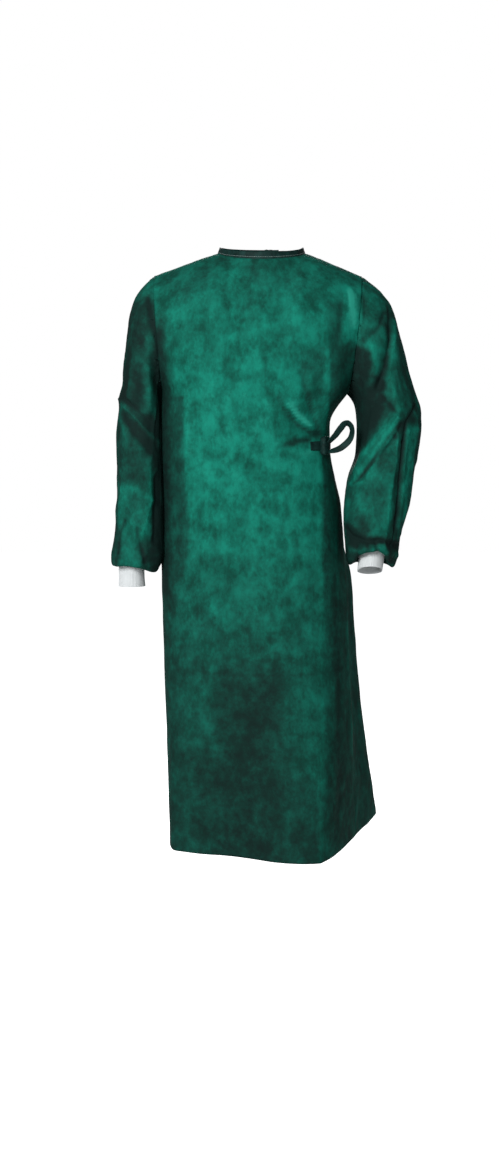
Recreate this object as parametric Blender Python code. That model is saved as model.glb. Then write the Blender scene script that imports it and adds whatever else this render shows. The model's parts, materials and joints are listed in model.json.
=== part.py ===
"""Isolation gown of nonwoven cloth, in the hollow shape it has when worn.

+X is the wearer's left, +Y the wearer's back, +Z up. The origin is the middle of the neck opening,
where the wearer's neck and shoulders carry the gown. Every size is in metres and every angle in
degrees. Each cut piece of the gown is one object: a surface of points with a wall of real thickness.
"""

import math
from collections import namedtuple
from functools import lru_cache

import bmesh
import bpy
from mathutils import Matrix, Vector

WALL = 0.0015
KNIT_WALL = 0.002
BINDING_WALL = 0.0022
TAPE_WALL = 0.0014
SEAM_GAP = 0.0003

HEM_HEIGHT = -1.178
UNDERARM_HEIGHT = -0.268
SHOULDER_Y = 0.004
ARMHOLE_HALF_DEPTH = 0.084

# Directions round the body: the wearer's left side seam is at 0, the back at 90, the right side
# seam at 180 and the front at 270. Panels have a column of points every 7.2 degrees.
LEFT_SEAM = 0.0
RIGHT_SEAM = 180.0
FULL_TURN = 360.0
COLUMN_STEP = 7.2
RIGHT_SEAM_COLUMN = 25
LAST_COLUMN = 50
SKIRT_ROWS = 20
YOKE_ROWS = 10
YOKE_LENGTH = 0.18

# The open back: where the outer flap and the inner flap end, in columns from the left side seam.
OUTER_EDGE_COLUMN = 11
INNER_EDGE_COLUMN = 16
LAP_DEPTH = 0.006
LAP_START = 50.0
LAP_END = 73.0

# Plan of the body at one height: a rounded box, turned about the vertical.
Section = namedtuple("Section", "height centre_x centre_y half_width half_depth squareness turn")
BODY = [
    Section(-0.268, -0.013, 0.004, 0.185, 0.132, 2.6, 0),
    Section(-0.312, -0.034, 0.008, 0.168, 0.134, 2.6, 0),
    Section(-0.370, -0.034, 0.012, 0.169, 0.134, 2.7, -1),
    Section(-0.430, -0.030, 0.016, 0.173, 0.138, 2.7, -2),
    Section(-0.480, -0.023, 0.020, 0.181, 0.143, 2.7, -3),
    Section(-0.610, -0.018, 0.026, 0.184, 0.155, 2.9, -6),
    Section(-0.800, -0.010, 0.028, 0.183, 0.170, 3.2, -10),
    Section(-1.000, 0.006, 0.026, 0.183, 0.186, 4.0, -14),
    Section(-1.178, 0.026, 0.024, 0.185, 0.199, 5.0, -18),
]

SHOULDER_TIP = {"right": Vector((-0.214, SHOULDER_Y, -0.041)), "left": Vector((0.197, SHOULDER_Y, -0.042))}
NECK_POINT = {"right": Vector((-0.086, 0.012, 0.005)), "left": Vector((0.083, 0.012, 0.005))}
NECK_FRONT = Vector((0.000, -0.078, -0.014))
NECK_BACK = Vector((0.000, 0.078, 0.007))
SHOULDER_SHARE = 0.28

# How the chest and upper back curve up: flat under the neckline and rounder towards the shoulders.
FLAT_HALF_SHARE = 0.06
ROUNDING_SPAN = 0.14
CHEST_CURVE = 1.6
ARMHOLE_PULL = 4

# A sleeve ring, from its outer to its inner side. Its front and back stand half_depth off the
# middle, the front higher by front_rise. The armhole comes first, the edge turned in to the cuff last.
Ring = namedtuple("Ring", "outer_x outer_z inner_x inner_z centre_y half_depth front_rise")
SLEEVE_RIGHT = [
    Ring(-0.2385, -0.064, -0.2035, -0.273, 0.003, 0.085, 0.000),
    Ring(-0.2525, -0.087, -0.2050, -0.280, 0.002, 0.085, 0.000),
    Ring(-0.2605, -0.110, -0.2060, -0.288, 0.001, 0.083, 0.000),
    Ring(-0.2670, -0.157, -0.2060, -0.302, 0.000, 0.079, 0.000),
    Ring(-0.2737, -0.204, -0.2055, -0.318, -0.003, 0.075, 0.000),
    Ring(-0.2784, -0.251, -0.2050, -0.335, -0.007, 0.072, 0.000),
    Ring(-0.2868, -0.287, -0.2045, -0.355, -0.011, 0.070, 0.000),
    Ring(-0.2895, -0.360, -0.2040, -0.400, -0.018, 0.067, 0.002),
    Ring(-0.2885, -0.430, -0.2040, -0.452, -0.024, 0.066, 0.003),
    Ring(-0.2905, -0.489, -0.2042, -0.502, -0.030, 0.065, 0.004),
    Ring(-0.2935, -0.537, -0.2042, -0.547, -0.034, 0.064, 0.004),
    Ring(-0.2970, -0.588, -0.2075, -0.600, -0.036, 0.059, 0.004),
    Ring(-0.2965, -0.606, -0.2110, -0.617, -0.036, 0.054, 0.004),
    Ring(-0.2940, -0.611, -0.2180, -0.623, -0.036, 0.046, 0.004),
    Ring(-0.2905, -0.607, -0.2300, -0.619, -0.036, 0.038, 0.004),
    Ring(-0.2895, -0.597, -0.2350, -0.608, -0.036, 0.0335, 0.004),
]
SLEEVE_LEFT = [
    Ring(0.2250, -0.064, 0.1785, -0.274, 0.003, 0.085, 0.000),
    Ring(0.2510, -0.087, 0.1830, -0.283, 0.002, 0.085, 0.000),
    Ring(0.2657, -0.134, 0.1870, -0.293, 0.000, 0.082, 0.000),
    Ring(0.2784, -0.181, 0.1890, -0.303, -0.002, 0.079, 0.000),
    Ring(0.2905, -0.228, 0.1900, -0.314, -0.005, 0.076, 0.000),
    Ring(0.3067, -0.275, 0.1900, -0.325, -0.009, 0.073, 0.000),
    Ring(0.3168, -0.316, 0.1895, -0.345, -0.013, 0.071, 0.001),
    Ring(0.3130, -0.370, 0.1870, -0.394, -0.022, 0.068, 0.003),
    Ring(0.3026, -0.418, 0.1730, -0.430, -0.033, 0.065, 0.005),
    Ring(0.2965, -0.465, 0.1650, -0.476, -0.044, 0.063, 0.007),
    Ring(0.2838, -0.512, 0.1625, -0.525, -0.055, 0.062, 0.009),
    Ring(0.2695, -0.559, 0.1665, -0.560, -0.064, 0.058, 0.010),
    Ring(0.2620, -0.582, 0.1690, -0.580, -0.068, 0.055, 0.010),
    Ring(0.2550, -0.599, 0.1760, -0.595, -0.070, 0.048, 0.010),
    Ring(0.2475, -0.602, 0.1860, -0.596, -0.071, 0.039, 0.010),
    Ring(0.2440, -0.592, 0.1905, -0.586, -0.071, 0.0335, 0.010),
]
SLEEVE_COLUMNS = 28
SEAM_AT_SHOULDER = 0.0009
SEAM_AT_UNDERARM = 0.0024
CUFF_RIGHT = [
    Ring(-0.2872, -0.599, -0.2374, -0.610, -0.036, 0.0308, 0.004),
    Ring(-0.2874, -0.626, -0.2370, -0.634, -0.036, 0.0306, 0.003),
    Ring(-0.2884, -0.654, -0.2360, -0.654, -0.036, 0.0312, 0.002),
]
CUFF_LEFT = [
    Ring(0.2417, -0.593, 0.1930, -0.587, -0.071, 0.0308, 0.010),
    Ring(0.2396, -0.609, 0.1912, -0.605, -0.073, 0.0306, 0.010),
    Ring(0.2368, -0.626, 0.1888, -0.625, -0.077, 0.0312, 0.010),
]
CUFF_COLUMNS = 24
CUFF_ROWS = 3

# A soft fold in a surface, from one point to another. A positive depth stands out of the surface.
# On the body, place is a height. On a sleeve it is a share of the length, and around runs from the
# sleeve's outer side over the back (90), the inner side (180) and the front (270).
Fold = namedtuple("Fold", "around_1 place_1 around_2 place_2 width depth_1 depth_2")
BODY_FOLDS = [
    # pulls in the front that run to the waist tie
    Fold(297, -0.285, 323, -0.350, 0.012, -0.002, -0.009),
    Fold(308, -0.205, 325, -0.345, 0.012, -0.002, -0.008),
    Fold(300, -0.364, 320, -0.366, 0.010, -0.001, -0.007),
    # edges where the front turns to the sides
    Fold(326, -0.150, 331, -0.310, 0.013, 0.002, 0.008),
    Fold(223, -0.250, 223, -0.480, 0.015, 0.003, 0.005),
    # the front of the skirt
    Fold(240, -0.620, 243, -1.200, 0.034, 0.000, 0.006),
    Fold(262, -0.560, 262, -1.200, 0.040, 0.000, -0.006),
    Fold(288, -0.600, 290, -1.200, 0.030, 0.001, 0.006),
    # the left side: the ridge of its seam, the hollow behind it and the corner of the back
    Fold(356, -0.500, 350, -1.080, 0.012, 0.003, 0.006),
    Fold(372, -0.620, 368, -1.200, 0.026, -0.003, -0.008),
    Fold(34, -0.620, 42, -1.200, 0.045, 0.026, 0.006),
    # the back: flutes that fall from the shoulder blades and the waist
    Fold(66, -0.420, 66, -1.200, 0.028, -0.002, -0.010),
    Fold(92, -0.400, 90, -1.200, 0.030, 0.002, 0.012),
    Fold(116, -0.440, 114, -1.200, 0.028, -0.002, -0.010),
    Fold(140, -0.460, 140, -1.200, 0.030, 0.001, 0.010),
    # the right side, behind the arm
    Fold(164, -0.600, 166, -1.200, 0.030, 0.000, -0.008),
    Fold(192, -0.620, 194, -1.200, 0.030, 0.000, 0.006),
]
RIGHT_SLEEVE_FOLDS = [
    Fold(280, 0.04, 262, 0.20, 0.013, -0.007, -0.003),
    Fold(355, 0.355, 290, 0.350, 0.011, -0.009, -0.007),
    Fold(290, 0.350, 238, 0.390, 0.011, -0.007, -0.006),
    Fold(238, 0.390, 200, 0.410, 0.011, -0.006, -0.004),
    Fold(300, 0.20, 300, 0.32, 0.016, 0.003, 0.004),
    Fold(320, 0.40, 270, 0.47, 0.013, 0.005, 0.004),
    Fold(262, 0.55, 265, 0.80, 0.012, 0.004, 0.005),
    Fold(300, 0.62, 296, 0.84, 0.012, -0.004, -0.005),
    Fold(40, 0.34, 130, 0.42, 0.014, -0.006, -0.005),
    Fold(60, 0.42, 120, 0.50, 0.014, 0.004, 0.004),
    Fold(80, 0.56, 96, 0.84, 0.018, 0.004, 0.005),
]
LEFT_SLEEVE_FOLDS = [
    Fold(350, 0.10, 294, 0.155, 0.013, -0.003, -0.007),
    Fold(294, 0.155, 262, 0.220, 0.013, -0.007, -0.007),
    Fold(262, 0.220, 218, 0.320, 0.013, -0.007, -0.004),
    Fold(302, 0.22, 288, 0.36, 0.015, 0.005, 0.005),
    Fold(284, 0.38, 211, 0.60, 0.012, 0.006, 0.008),
    Fold(296, 0.43, 218, 0.66, 0.012, -0.005, -0.006),
    Fold(303, 0.42, 300, 0.69, 0.010, -0.006, -0.007),
    Fold(300, 0.69, 313, 0.86, 0.010, -0.007, -0.005),
    Fold(284, 0.60, 290, 0.85, 0.011, 0.005, 0.005),
    Fold(200, 0.875, 345, 0.865, 0.009, -0.007, -0.007),
    Fold(50, 0.38, 130, 0.46, 0.014, -0.006, -0.005),
    Fold(60, 0.48, 120, 0.56, 0.014, 0.005, 0.004),
    Fold(76, 0.60, 100, 0.86, 0.018, 0.004, 0.005),
]
SLEEVE_LENGTH = 0.49
SLEEVE_RADIUS = 0.055
BODY_RADIUS = 0.16
GATHERS = 7
GATHER_DEPTH = 0.0070
GATHER_START = 0.86
GATHER_END = 0.965
GATHER_RISE = 0.06

BINDING_HEIGHT = 0.0105
BINDING_LEAN = 0.20
NECK_KNOT = Vector((0.020, 0.010, 0.012))
NECK_KNOT_AROUND = 86.0
NECK_KNOT_RISE = 0.001
KNOT_ROUNDING = 0.38
NECK_TAPE_WIDTH = 0.010
NECK_TIE_LIFT = 0.0022
NECK_TIE_TOP_LEVEL = 1.955
NECK_TIE_SPREAD = 2.2
NECK_TIE_ROWS = 8

# The hanging ends of the neck ties: how far each swings out round the back, and its length.
TieEnd = namedtuple("TieEnd", "name swing length")
NECK_TIE_ENDS = [
    TieEnd("neck_tie_end_right", 7.0, 0.150),
    TieEnd("neck_tie_end_left", -6.0, 0.126),
]

TIE_HEIGHT = -0.372
TIE_WIDTH = 0.017
TIE_PATCH_AROUND = 316.0
TIE_KNOT_AROUND = 331.0
TIE_END_COLUMN = LAST_COLUMN + OUTER_EDGE_COLUMN + 0.6
TIE_ROW_CLEARANCE = 0.02
WAIST_KNOT = Vector((0.019, 0.013, 0.036))

# The bow's loop beside the knot. Facing is how far its width turns from the depth to the view's plane.
LoopPoint = namedtuple("LoopPoint", "x y z facing")
LOOP = [
    LoopPoint(0.1289, -0.086, -0.3660, 0.20),
    LoopPoint(0.1415, -0.094, -0.3510, 0.30),
    LoopPoint(0.1530, -0.096, -0.3350, 0.36),
    LoopPoint(0.1620, -0.092, -0.3270, 0.30),
    LoopPoint(0.1710, -0.088, -0.3320, 0.25),
    LoopPoint(0.1745, -0.086, -0.3430, 0.35),
    LoopPoint(0.1715, -0.086, -0.3570, 0.55),
    LoopPoint(0.1600, -0.088, -0.3700, 0.75),
    LoopPoint(0.1460, -0.089, -0.3790, 0.60),
    LoopPoint(0.1287, -0.086, -0.3830, 0.30),
]
LOOP_WIDTH = 0.013

CLOTH = ("gown_cloth", (0.010, 0.150, 0.105, 1.0), 0.75)
KNIT = ("cuff_knit", (0.80, 0.83, 0.85, 1.0), 0.90)
TAPE = ("tie_tape", (0.008, 0.045, 0.036, 1.0), 0.80)


def smoothstep(value):
    value = min(1.0, max(0.0, value))
    return value * value * (3 - 2 * value)


def mix(first, second, share):
    return first + (second - first) * share


def smooth_curve(keys, values, at):
    """Cubic through the values that never overshoots a row. The keys only rise."""
    spans = [b - a for a, b in zip(keys, keys[1:])]
    slopes = [(b - a) / span for a, b, span in zip(values, values[1:], spans)]
    tangents = [slopes[0]]
    for before, after in zip(slopes, slopes[1:]):
        same_way = before * after > 0
        tangents.append(2 * before * after / (before + after) if same_way else 0.0)
    tangents.append(slopes[-1])
    at = min(keys[-1], max(keys[0], at))
    row = max(i for i in range(len(spans)) if keys[i] <= at)
    t = (at - keys[row]) / spans[row]
    return (
        values[row] * (1 + 2 * t) * (1 - t) ** 2
        + values[row + 1] * t * t * (3 - 2 * t)
        + spans[row] * (tangents[row] * t * (1 - t) ** 2 - tangents[row + 1] * t * t * (1 - t))
    )


@lru_cache(maxsize=None)
def section_at(height):
    """The body's plan at any height, between the rows of its table."""
    keys = [-row.height for row in BODY]
    return Section(*[smooth_curve(keys, list(column), -height) for column in zip(*BODY)])


def section_point(section, around):
    """Point of a plan in a direction, measured from the plan's own turned sides."""
    angle = math.radians(around)
    across = abs(math.cos(angle) / section.half_width) ** section.squareness
    deep = abs(math.sin(angle) / section.half_depth) ** section.squareness
    radius = (across + deep) ** (-1 / section.squareness)
    turned = angle + math.radians(section.turn)
    x = section.centre_x + radius * math.cos(turned)
    y = section.centre_y + radius * math.sin(turned)
    return Vector((x, y, section.height))


def ring_point(ring, around):
    """Point of a sleeve ring: 0 is its outer side, 90 the back, 180 the inner side, 270 the front."""
    angle = math.radians(around)
    middle = Vector(((ring.outer_x + ring.inner_x) / 2, ring.centre_y, (ring.outer_z + ring.inner_z) / 2))
    outer = Vector((ring.outer_x, ring.centre_y, ring.outer_z)) - middle
    back = Vector((0, ring.half_depth, -ring.front_rise))
    return middle + outer * math.cos(angle) + back * math.sin(angle)


def armhole_ring(side):
    """The armhole as a sleeve ring, from the shoulder tip to the top of the side seam."""
    tip = SHOULDER_TIP[side]
    seam = RIGHT_SEAM if side == "right" else LEFT_SEAM
    underarm = section_point(section_at(UNDERARM_HEIGHT), seam)
    return Ring(tip.x, tip.z, underarm.x, underarm.z, SHOULDER_Y, ARMHOLE_HALF_DEPTH, 0.0)


def fold_offset(folds, around, place, radius, length=1.0):
    """How far the folds lift a point out of its surface, by its distance to each in the flat cloth."""
    arc = math.radians(1) * radius
    total = 0.0
    for fold in folds:
        start = Vector((fold.around_1 * arc, fold.place_1 * length))
        run = Vector((fold.around_2 * arc, fold.place_2 * length)) - start
        for turn in (-FULL_TURN, 0, FULL_TURN):
            here = Vector(((around + turn) * arc, place * length)) - start
            share = min(1.0, max(0.0, here.dot(run) / run.length_squared))
            distance = (here - run * share).length
            total += mix(fold.depth_1, fold.depth_2, share) * math.exp(-((distance / fold.width) ** 2))
    return total


def neckline_point(side_share, half):
    """Point of the neckline's front or back half, from the wearer's right (0) to left (1)."""
    angle = math.pi * side_share
    middle = (NECK_POINT["right"] + NECK_POINT["left"]) / 2
    across = (NECK_POINT["left"] - NECK_POINT["right"]) / 2
    deep = (NECK_FRONT if half == "front" else NECK_BACK) - middle
    return middle - across * math.cos(angle) + deep * math.sin(angle)


def top_edge(side_share, half):
    """Shoulder seam, neckline, shoulder seam, from the wearer's right (0) to left (1)."""
    if side_share < SHOULDER_SHARE:
        return SHOULDER_TIP["right"].lerp(NECK_POINT["right"], side_share / SHOULDER_SHARE)
    if side_share > 1 - SHOULDER_SHARE:
        return SHOULDER_TIP["left"].lerp(NECK_POINT["left"], (1 - side_share) / SHOULDER_SHARE)
    return neckline_point((side_share - SHOULDER_SHARE) / (1 - 2 * SHOULDER_SHARE), half)


def yoke_point(around, rise, half):
    """Chest or upper back, from the underarm height (rise 0) to the shoulder seam or neckline (1)."""
    side_share = 1 - around / 180 if half == "back" else around / 180 - 1
    bottom = section_point(section_at(UNDERARM_HEIGHT), around)
    top = top_edge(side_share, half)
    over_shoulder = smoothstep((abs(side_share - 0.5) - FLAT_HALF_SHARE) / ROUNDING_SPAN)
    quarter = rise * math.pi / 2
    up = mix(rise, math.sin(quarter), over_shoulder)
    deep = mix(rise**CHEST_CURVE, 1 - math.cos(quarter), over_shoulder)

    def between(low, high):
        return Vector((mix(low.x, high.x, rise), mix(low.y, high.y, deep), mix(low.z, high.z, up)))

    point = between(bottom, top)
    for side, seam, near in (("right", RIGHT_SEAM, 1 - side_share), ("left", LEFT_SEAM, side_share)):
        corner = section_point(section_at(UNDERARM_HEIGHT), seam)
        round_armhole = 180 + 180 * rise if half == "front" else 180 - 180 * rise
        armhole = ring_point(armhole_ring(side), round_armhole)
        point += (armhole - between(corner, SHOULDER_TIP[side])) * near**ARMHOLE_PULL
    return point


def half_of(around):
    """Which half of the gown a direction lies in."""
    return "back" if 0 <= around < RIGHT_SEAM else "front"


def body_sheet(around, level, half):
    """Smooth body without folds. Level runs from the hem (0) to the underarm (1) to the top (2)."""
    if level <= 1:
        return section_point(section_at(mix(HEM_HEIGHT, UNDERARM_HEIGHT, level)), around)
    return yoke_point(around, level - 1, half)


def facing(surface, around, level, half, lowest=0.0, highest=2.0, turn=1.0, step=0.008):
    """Outward direction of a surface. Above the underarm, the slope across stays in its own half."""
    low, high = around - turn, around + turn
    if level > 1:
        first, last = (0, 180) if half == "back" else (180, 360)
        low, high = max(first, low), min(last, high)
    across = surface(high, level, half) - surface(low, level, half)
    up = surface(around, min(highest, level + step), half) - surface(around, max(lowest, level - step), half)
    return across.cross(up).normalized()


def body_surface(around, level, half):
    """The body's middle surface with its folds."""
    plain = body_sheet(around, level, half)
    fade_at_top = smoothstep((2 - level) / 0.25)
    at_side = 1 - smoothstep(abs(math.sin(math.radians(around))) / 0.3)
    fade_at_armhole = 1 - smoothstep((level - 0.9) / 0.1) * at_side
    depth = fold_offset(BODY_FOLDS, around % FULL_TURN, plain.z, BODY_RADIUS)
    return plain + facing(body_sheet, around, level, half) * depth * fade_at_top * fade_at_armhole


def inner_flap_surface(around, level, half):
    """The inner flap lies inside the outer one where they lap."""
    drop = LAP_DEPTH * smoothstep((around - LAP_START) / (LAP_END - LAP_START))
    return body_surface(around, level, half) - facing(body_sheet, around, level, half) * drop


def on_body(around, level, lift):
    """Point a distance outside the body's middle surface."""
    half = half_of(around)
    return body_surface(around, level, half) + facing(body_surface, around, level, half) * lift


def level_at(height):
    return (height - HEM_HEIGHT) / (UNDERARM_HEIGHT - HEM_HEIGHT)


def degrees_for(distance, around, level):
    """The turn round the body that covers a distance on its surface."""
    half = half_of(around % FULL_TURN)
    span = body_surface(around + 1, level, half) - body_surface(around - 1, level, half)
    return 2 * distance / span.length


def sleeve_rings(side):
    return [armhole_ring(side)] + (SLEEVE_RIGHT if side == "right" else SLEEVE_LEFT)


def ring_shares(rings):
    """The rings' places along their tube, as shares of its length."""
    middles = [(ring_point(ring, 0) + ring_point(ring, 180)) / 2 for ring in rings]
    lengths = [0.0]
    for before, after in zip(middles, middles[1:]):
        lengths.append(lengths[-1] + max(0.008, (after - before).length))
    return [length / lengths[-1] for length in lengths]


def tube(rings):
    """A function that gives the smooth ring at any share of a tube's length."""
    shares = ring_shares(rings)

    @lru_cache(maxsize=None)
    def ring_at(along):
        return Ring(*[smooth_curve(shares, list(column), along) for column in zip(*rings)])

    return ring_at


def sleeve_surface(side, folds):
    """A sleeve's middle surface, with its folds and the gathers above the cuff."""
    ring_at = tube(sleeve_rings(side))

    def surface(around, along):
        ring = ring_at(along)
        plain = ring_point(ring, around)
        middle = ring_point(ring, 0).lerp(ring_point(ring, 180), 0.5)
        folds_fade = smoothstep(along / 0.06) * (1 - smoothstep((along - 0.88) / 0.05))
        depth = fold_offset(folds, around % FULL_TURN, along, SLEEVE_RADIUS, SLEEVE_LENGTH) * folds_fade
        rise = smoothstep((along - GATHER_START) / GATHER_RISE)
        fall = 1 - smoothstep((along - GATHER_END) / (1 - GATHER_END))
        depth += GATHER_DEPTH * rise * fall * (1 + math.cos(math.radians(GATHERS * around))) / 2
        return plain + (plain - middle).normalized() * depth

    return surface


def material(finish):
    name, colour, roughness = finish
    made = bpy.data.materials.get(name) or bpy.data.materials.new(name)
    made.use_nodes = True
    shader = made.node_tree.nodes["Principled BSDF"]
    shader.inputs["Base Color"].default_value = colour
    shader.inputs["Roughness"].default_value = roughness
    made.diffuse_color = colour
    return made


def finish_object(name, bm, finish):
    """Makes an object of a closed bmesh, with its faces pointing out."""
    bmesh.ops.recalc_face_normals(bm, faces=bm.faces[:])
    bmesh.ops.triangulate(bm, faces=bm.faces[:])
    mesh = bpy.data.meshes.new(name)
    bm.to_mesh(mesh)
    bm.free()
    mesh.shade_smooth()
    mesh.set_sharp_from_angle(angle=math.radians(50))
    mesh.materials.append(material(finish))
    made = bpy.data.objects.new(name, mesh)
    bpy.context.scene.collection.objects.link(made)
    return made


def walled_sheet(name, rows, wall, finish, ring=False):
    """A wall round a grid of places. Each place is a point and the direction its wall faces."""
    bm = bmesh.new()
    skins = []
    for side in (wall / 2, -wall / 2):
        skins.append([[bm.verts.new(point + out * side) for point, out in row] for row in rows])
    count = len(rows[0])
    steps = count if ring else count - 1
    for skin in skins:
        for low, high in zip(skin, skin[1:]):
            for i in range(steps):
                after = (i + 1) % count
                bm.faces.new((low[i], low[after], high[after]))
                bm.faces.new((low[i], high[after], high[i]))
    outer, inner = skins
    for row in (0, -1):
        for i in range(steps):
            after = (i + 1) % count
            bm.faces.new((outer[row][i], outer[row][after], inner[row][after], inner[row][i]))
    if not ring:
        for column in (0, -1):
            for low, high in zip(range(len(rows)), range(1, len(rows))):
                corners = outer[low][column], outer[high][column], inner[high][column], inner[low][column]
                bm.faces.new(corners)
    return finish_object(name, bm, finish)


def tie_levels():
    """The rows of the body under the waist tie's lower edge, middle and upper edge."""
    return [level_at(TIE_HEIGHT + share * TIE_WIDTH) for share in (-0.5, 0.0, 0.5)]


def body_levels():
    """The rows of a body panel, the last half a seam's gap below the shoulder seam."""
    top = 2 - SEAM_GAP / 2 / YOKE_LENGTH
    skirt = [row / SKIRT_ROWS for row in range(SKIRT_ROWS)]
    clear_of_tie = [row for row in skirt if min(abs(row - tie) for tie in tie_levels()) > TIE_ROW_CLEARANCE]
    yoke = [mix(1, top, row / YOKE_ROWS) for row in range(YOKE_ROWS + 1)]
    return sorted(clear_of_tie + tie_levels()) + yoke


def panel(name, surface, first_column, last_column, half):
    """A body panel between two columns, half a seam's gap inside each."""
    rows = []
    for level in body_levels():
        row = []
        for column in range(first_column, last_column + 1):
            around = column * COLUMN_STEP
            inside = (column == first_column) - (column == last_column)
            around += inside * math.degrees(SEAM_GAP / 2 / BODY_RADIUS)
            row.append((surface(around, level, half), facing(surface, around, level, half)))
        rows.append(row)
    return walled_sheet(name, rows, WALL, CLOTH)


def sleeve(name, side, folds):
    """Set-in sleeve, from its seam at the armhole to the edge that turns in to the cuff."""
    surface = sleeve_surface(side, folds)
    shares = ring_shares(sleeve_rings(side))
    places = [0.0]
    for before, after in zip(shares, shares[1:]):
        pieces = 2 if after - before > 0.05 else 1
        places += [mix(before, after, (piece + 1) / pieces) for piece in range(pieces)]
    rows = []
    for along in places:
        row = []
        for column in range(SLEEVE_COLUMNS):
            around = FULL_TURN * column / SLEEVE_COLUMNS
            across = surface(around + 2, along) - surface(around - 2, along)
            down = surface(around, min(1.0, along + 0.004)) - surface(around, max(0.0, along - 0.004))
            out = across.cross(down).normalized() * (1 if side == "right" else -1)
            point = surface(around, along)
            if along == 0.0:
                at_underarm = (1 - math.cos(math.radians(around))) / 2
                point += down.normalized() * mix(SEAM_AT_SHOULDER, SEAM_AT_UNDERARM, at_underarm)
            row.append((point, out))
        rows.append(row)
    return walled_sheet(name, rows, WALL, CLOTH, ring=True)


def cuff(name, rings):
    """Knit tube inside the sleeve's turned-in edge and on past it."""
    ring_at = tube(rings)
    rows = []
    for step in range(CUFF_ROWS + 1):
        ring = ring_at(step / CUFF_ROWS)
        middle = ring_point(ring, 0).lerp(ring_point(ring, 180), 0.5)
        points = [ring_point(ring, FULL_TURN * column / CUFF_COLUMNS) for column in range(CUFF_COLUMNS)]
        rows.append([(point, (point - middle).normalized()) for point in points])
    return walled_sheet(name, rows, KNIT_WALL, KNIT, ring=True)


def binding_stations():
    """Places of the neck binding: outer flap's edge, right, front, left, and in under the outer flap."""
    neck_column = round(180 * SHOULDER_SHARE / COLUMN_STEP)
    spans = (
        (body_surface, "back", OUTER_EDGE_COLUMN, RIGHT_SEAM_COLUMN - neck_column),
        (body_surface, "front", RIGHT_SEAM_COLUMN + neck_column, LAST_COLUMN - neck_column),
        (inner_flap_surface, "back", neck_column, INNER_EDGE_COLUMN),
    )
    stations = []
    for surface, half, first, last in spans:
        for step in range(2 * (last - first) + 1):
            around = mix(first, last, step / (2 * (last - first))) * COLUMN_STEP
            point = surface(around, 2.0, half)
            if not stations or (point - stations[-1]).length > 0.002:
                stations.append(point)
    return stations


def neck_binding():
    """Strip that stands round the neckline, its two ends lapped at the back."""
    stations = binding_stations()
    middle = (NECK_POINT["right"] + NECK_POINT["left"]) / 2
    base = WALL / 2 + 2 * SEAM_GAP
    rows = []
    for share in (0.0, 0.5, 1.0):
        row = []
        for i, point in enumerate(stations):
            tangent = stations[min(i + 1, len(stations) - 1)] - stations[max(i - 1, 0)]
            inward = middle - point
            inward.z = 0
            up = (Vector((0, 0, 1)) + inward.normalized() * BINDING_LEAN).normalized()
            out = up.cross(tangent).normalized()
            if out.dot(inward) > 0:
                out = -out
            row.append((point + up * (base + share * BINDING_HEIGHT), out))
        rows.append(row)
    return walled_sheet("neck_binding", rows, BINDING_WALL, TAPE)


def tape_on_body(name, first, last):
    """Flat tape made from the panels' own points under the waist tie, moved out. Ends are in columns."""
    lift = (WALL + TAPE_WALL) / 2 + 3 * SEAM_GAP
    stops = [first] + list(range(math.floor(first) + 1, math.ceil(last))) + [last]
    rows = []
    for level in tie_levels():
        row = []
        for stop in stops:
            before, share = math.floor(stop), stop - math.floor(stop)
            ends = []
            for column in (before, before + 1):
                around = column * COLUMN_STEP % FULL_TURN
                out = facing(body_surface, around, level, half_of(around))
                ends.append((body_surface(around, level, half_of(around)) + out * lift, out))
            row.append((ends[0][0].lerp(ends[1][0], share), ends[0][1].lerp(ends[1][1], share).normalized()))
        rows.append(row)
    return walled_sheet(name, rows, TAPE_WALL, TAPE)


def knot(name, size, centre, out):
    """Rounded lump, as wide, deep and tall as its size, facing out."""
    bm = bmesh.new()
    bmesh.ops.create_cube(bm, size=1.0)
    bmesh.ops.scale(bm, vec=size, verts=bm.verts[:])
    bmesh.ops.bevel(bm, geom=bm.edges[:], offset=min(size) * KNOT_ROUNDING, segments=3, profile=0.5,
                    affect="EDGES", material=-1)
    side = out.cross(Vector((0, 0, 1))).normalized()
    turned = Matrix((side, out, side.cross(out))).transposed()
    bmesh.ops.transform(bm, matrix=Matrix.Translation(centre) @ turned.to_4x4(), verts=bm.verts[:])
    return finish_object(name, bm, TAPE)


def waist_tie():
    """Tape from the front's left side, its knot and loop, and the tape round to the outer flap."""
    level = level_at(TIE_HEIGHT)
    lift = WALL / 2 + 4 * SEAM_GAP + WAIST_KNOT.y / 2
    out = facing(body_surface, TIE_KNOT_AROUND, level, "front")
    knot("waist_tie_knot", WAIST_KNOT, on_body(TIE_KNOT_AROUND, level, lift), out)
    beside = degrees_for(WAIST_KNOT.x / 2 + 2 * SEAM_GAP, TIE_KNOT_AROUND, level)
    start = TIE_PATCH_AROUND / COLUMN_STEP
    tape_on_body("waist_tie_front", start, (TIE_KNOT_AROUND - beside) / COLUMN_STEP)
    tape_on_body("waist_tie_back", (TIE_KNOT_AROUND + beside) / COLUMN_STEP, TIE_END_COLUMN)


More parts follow.
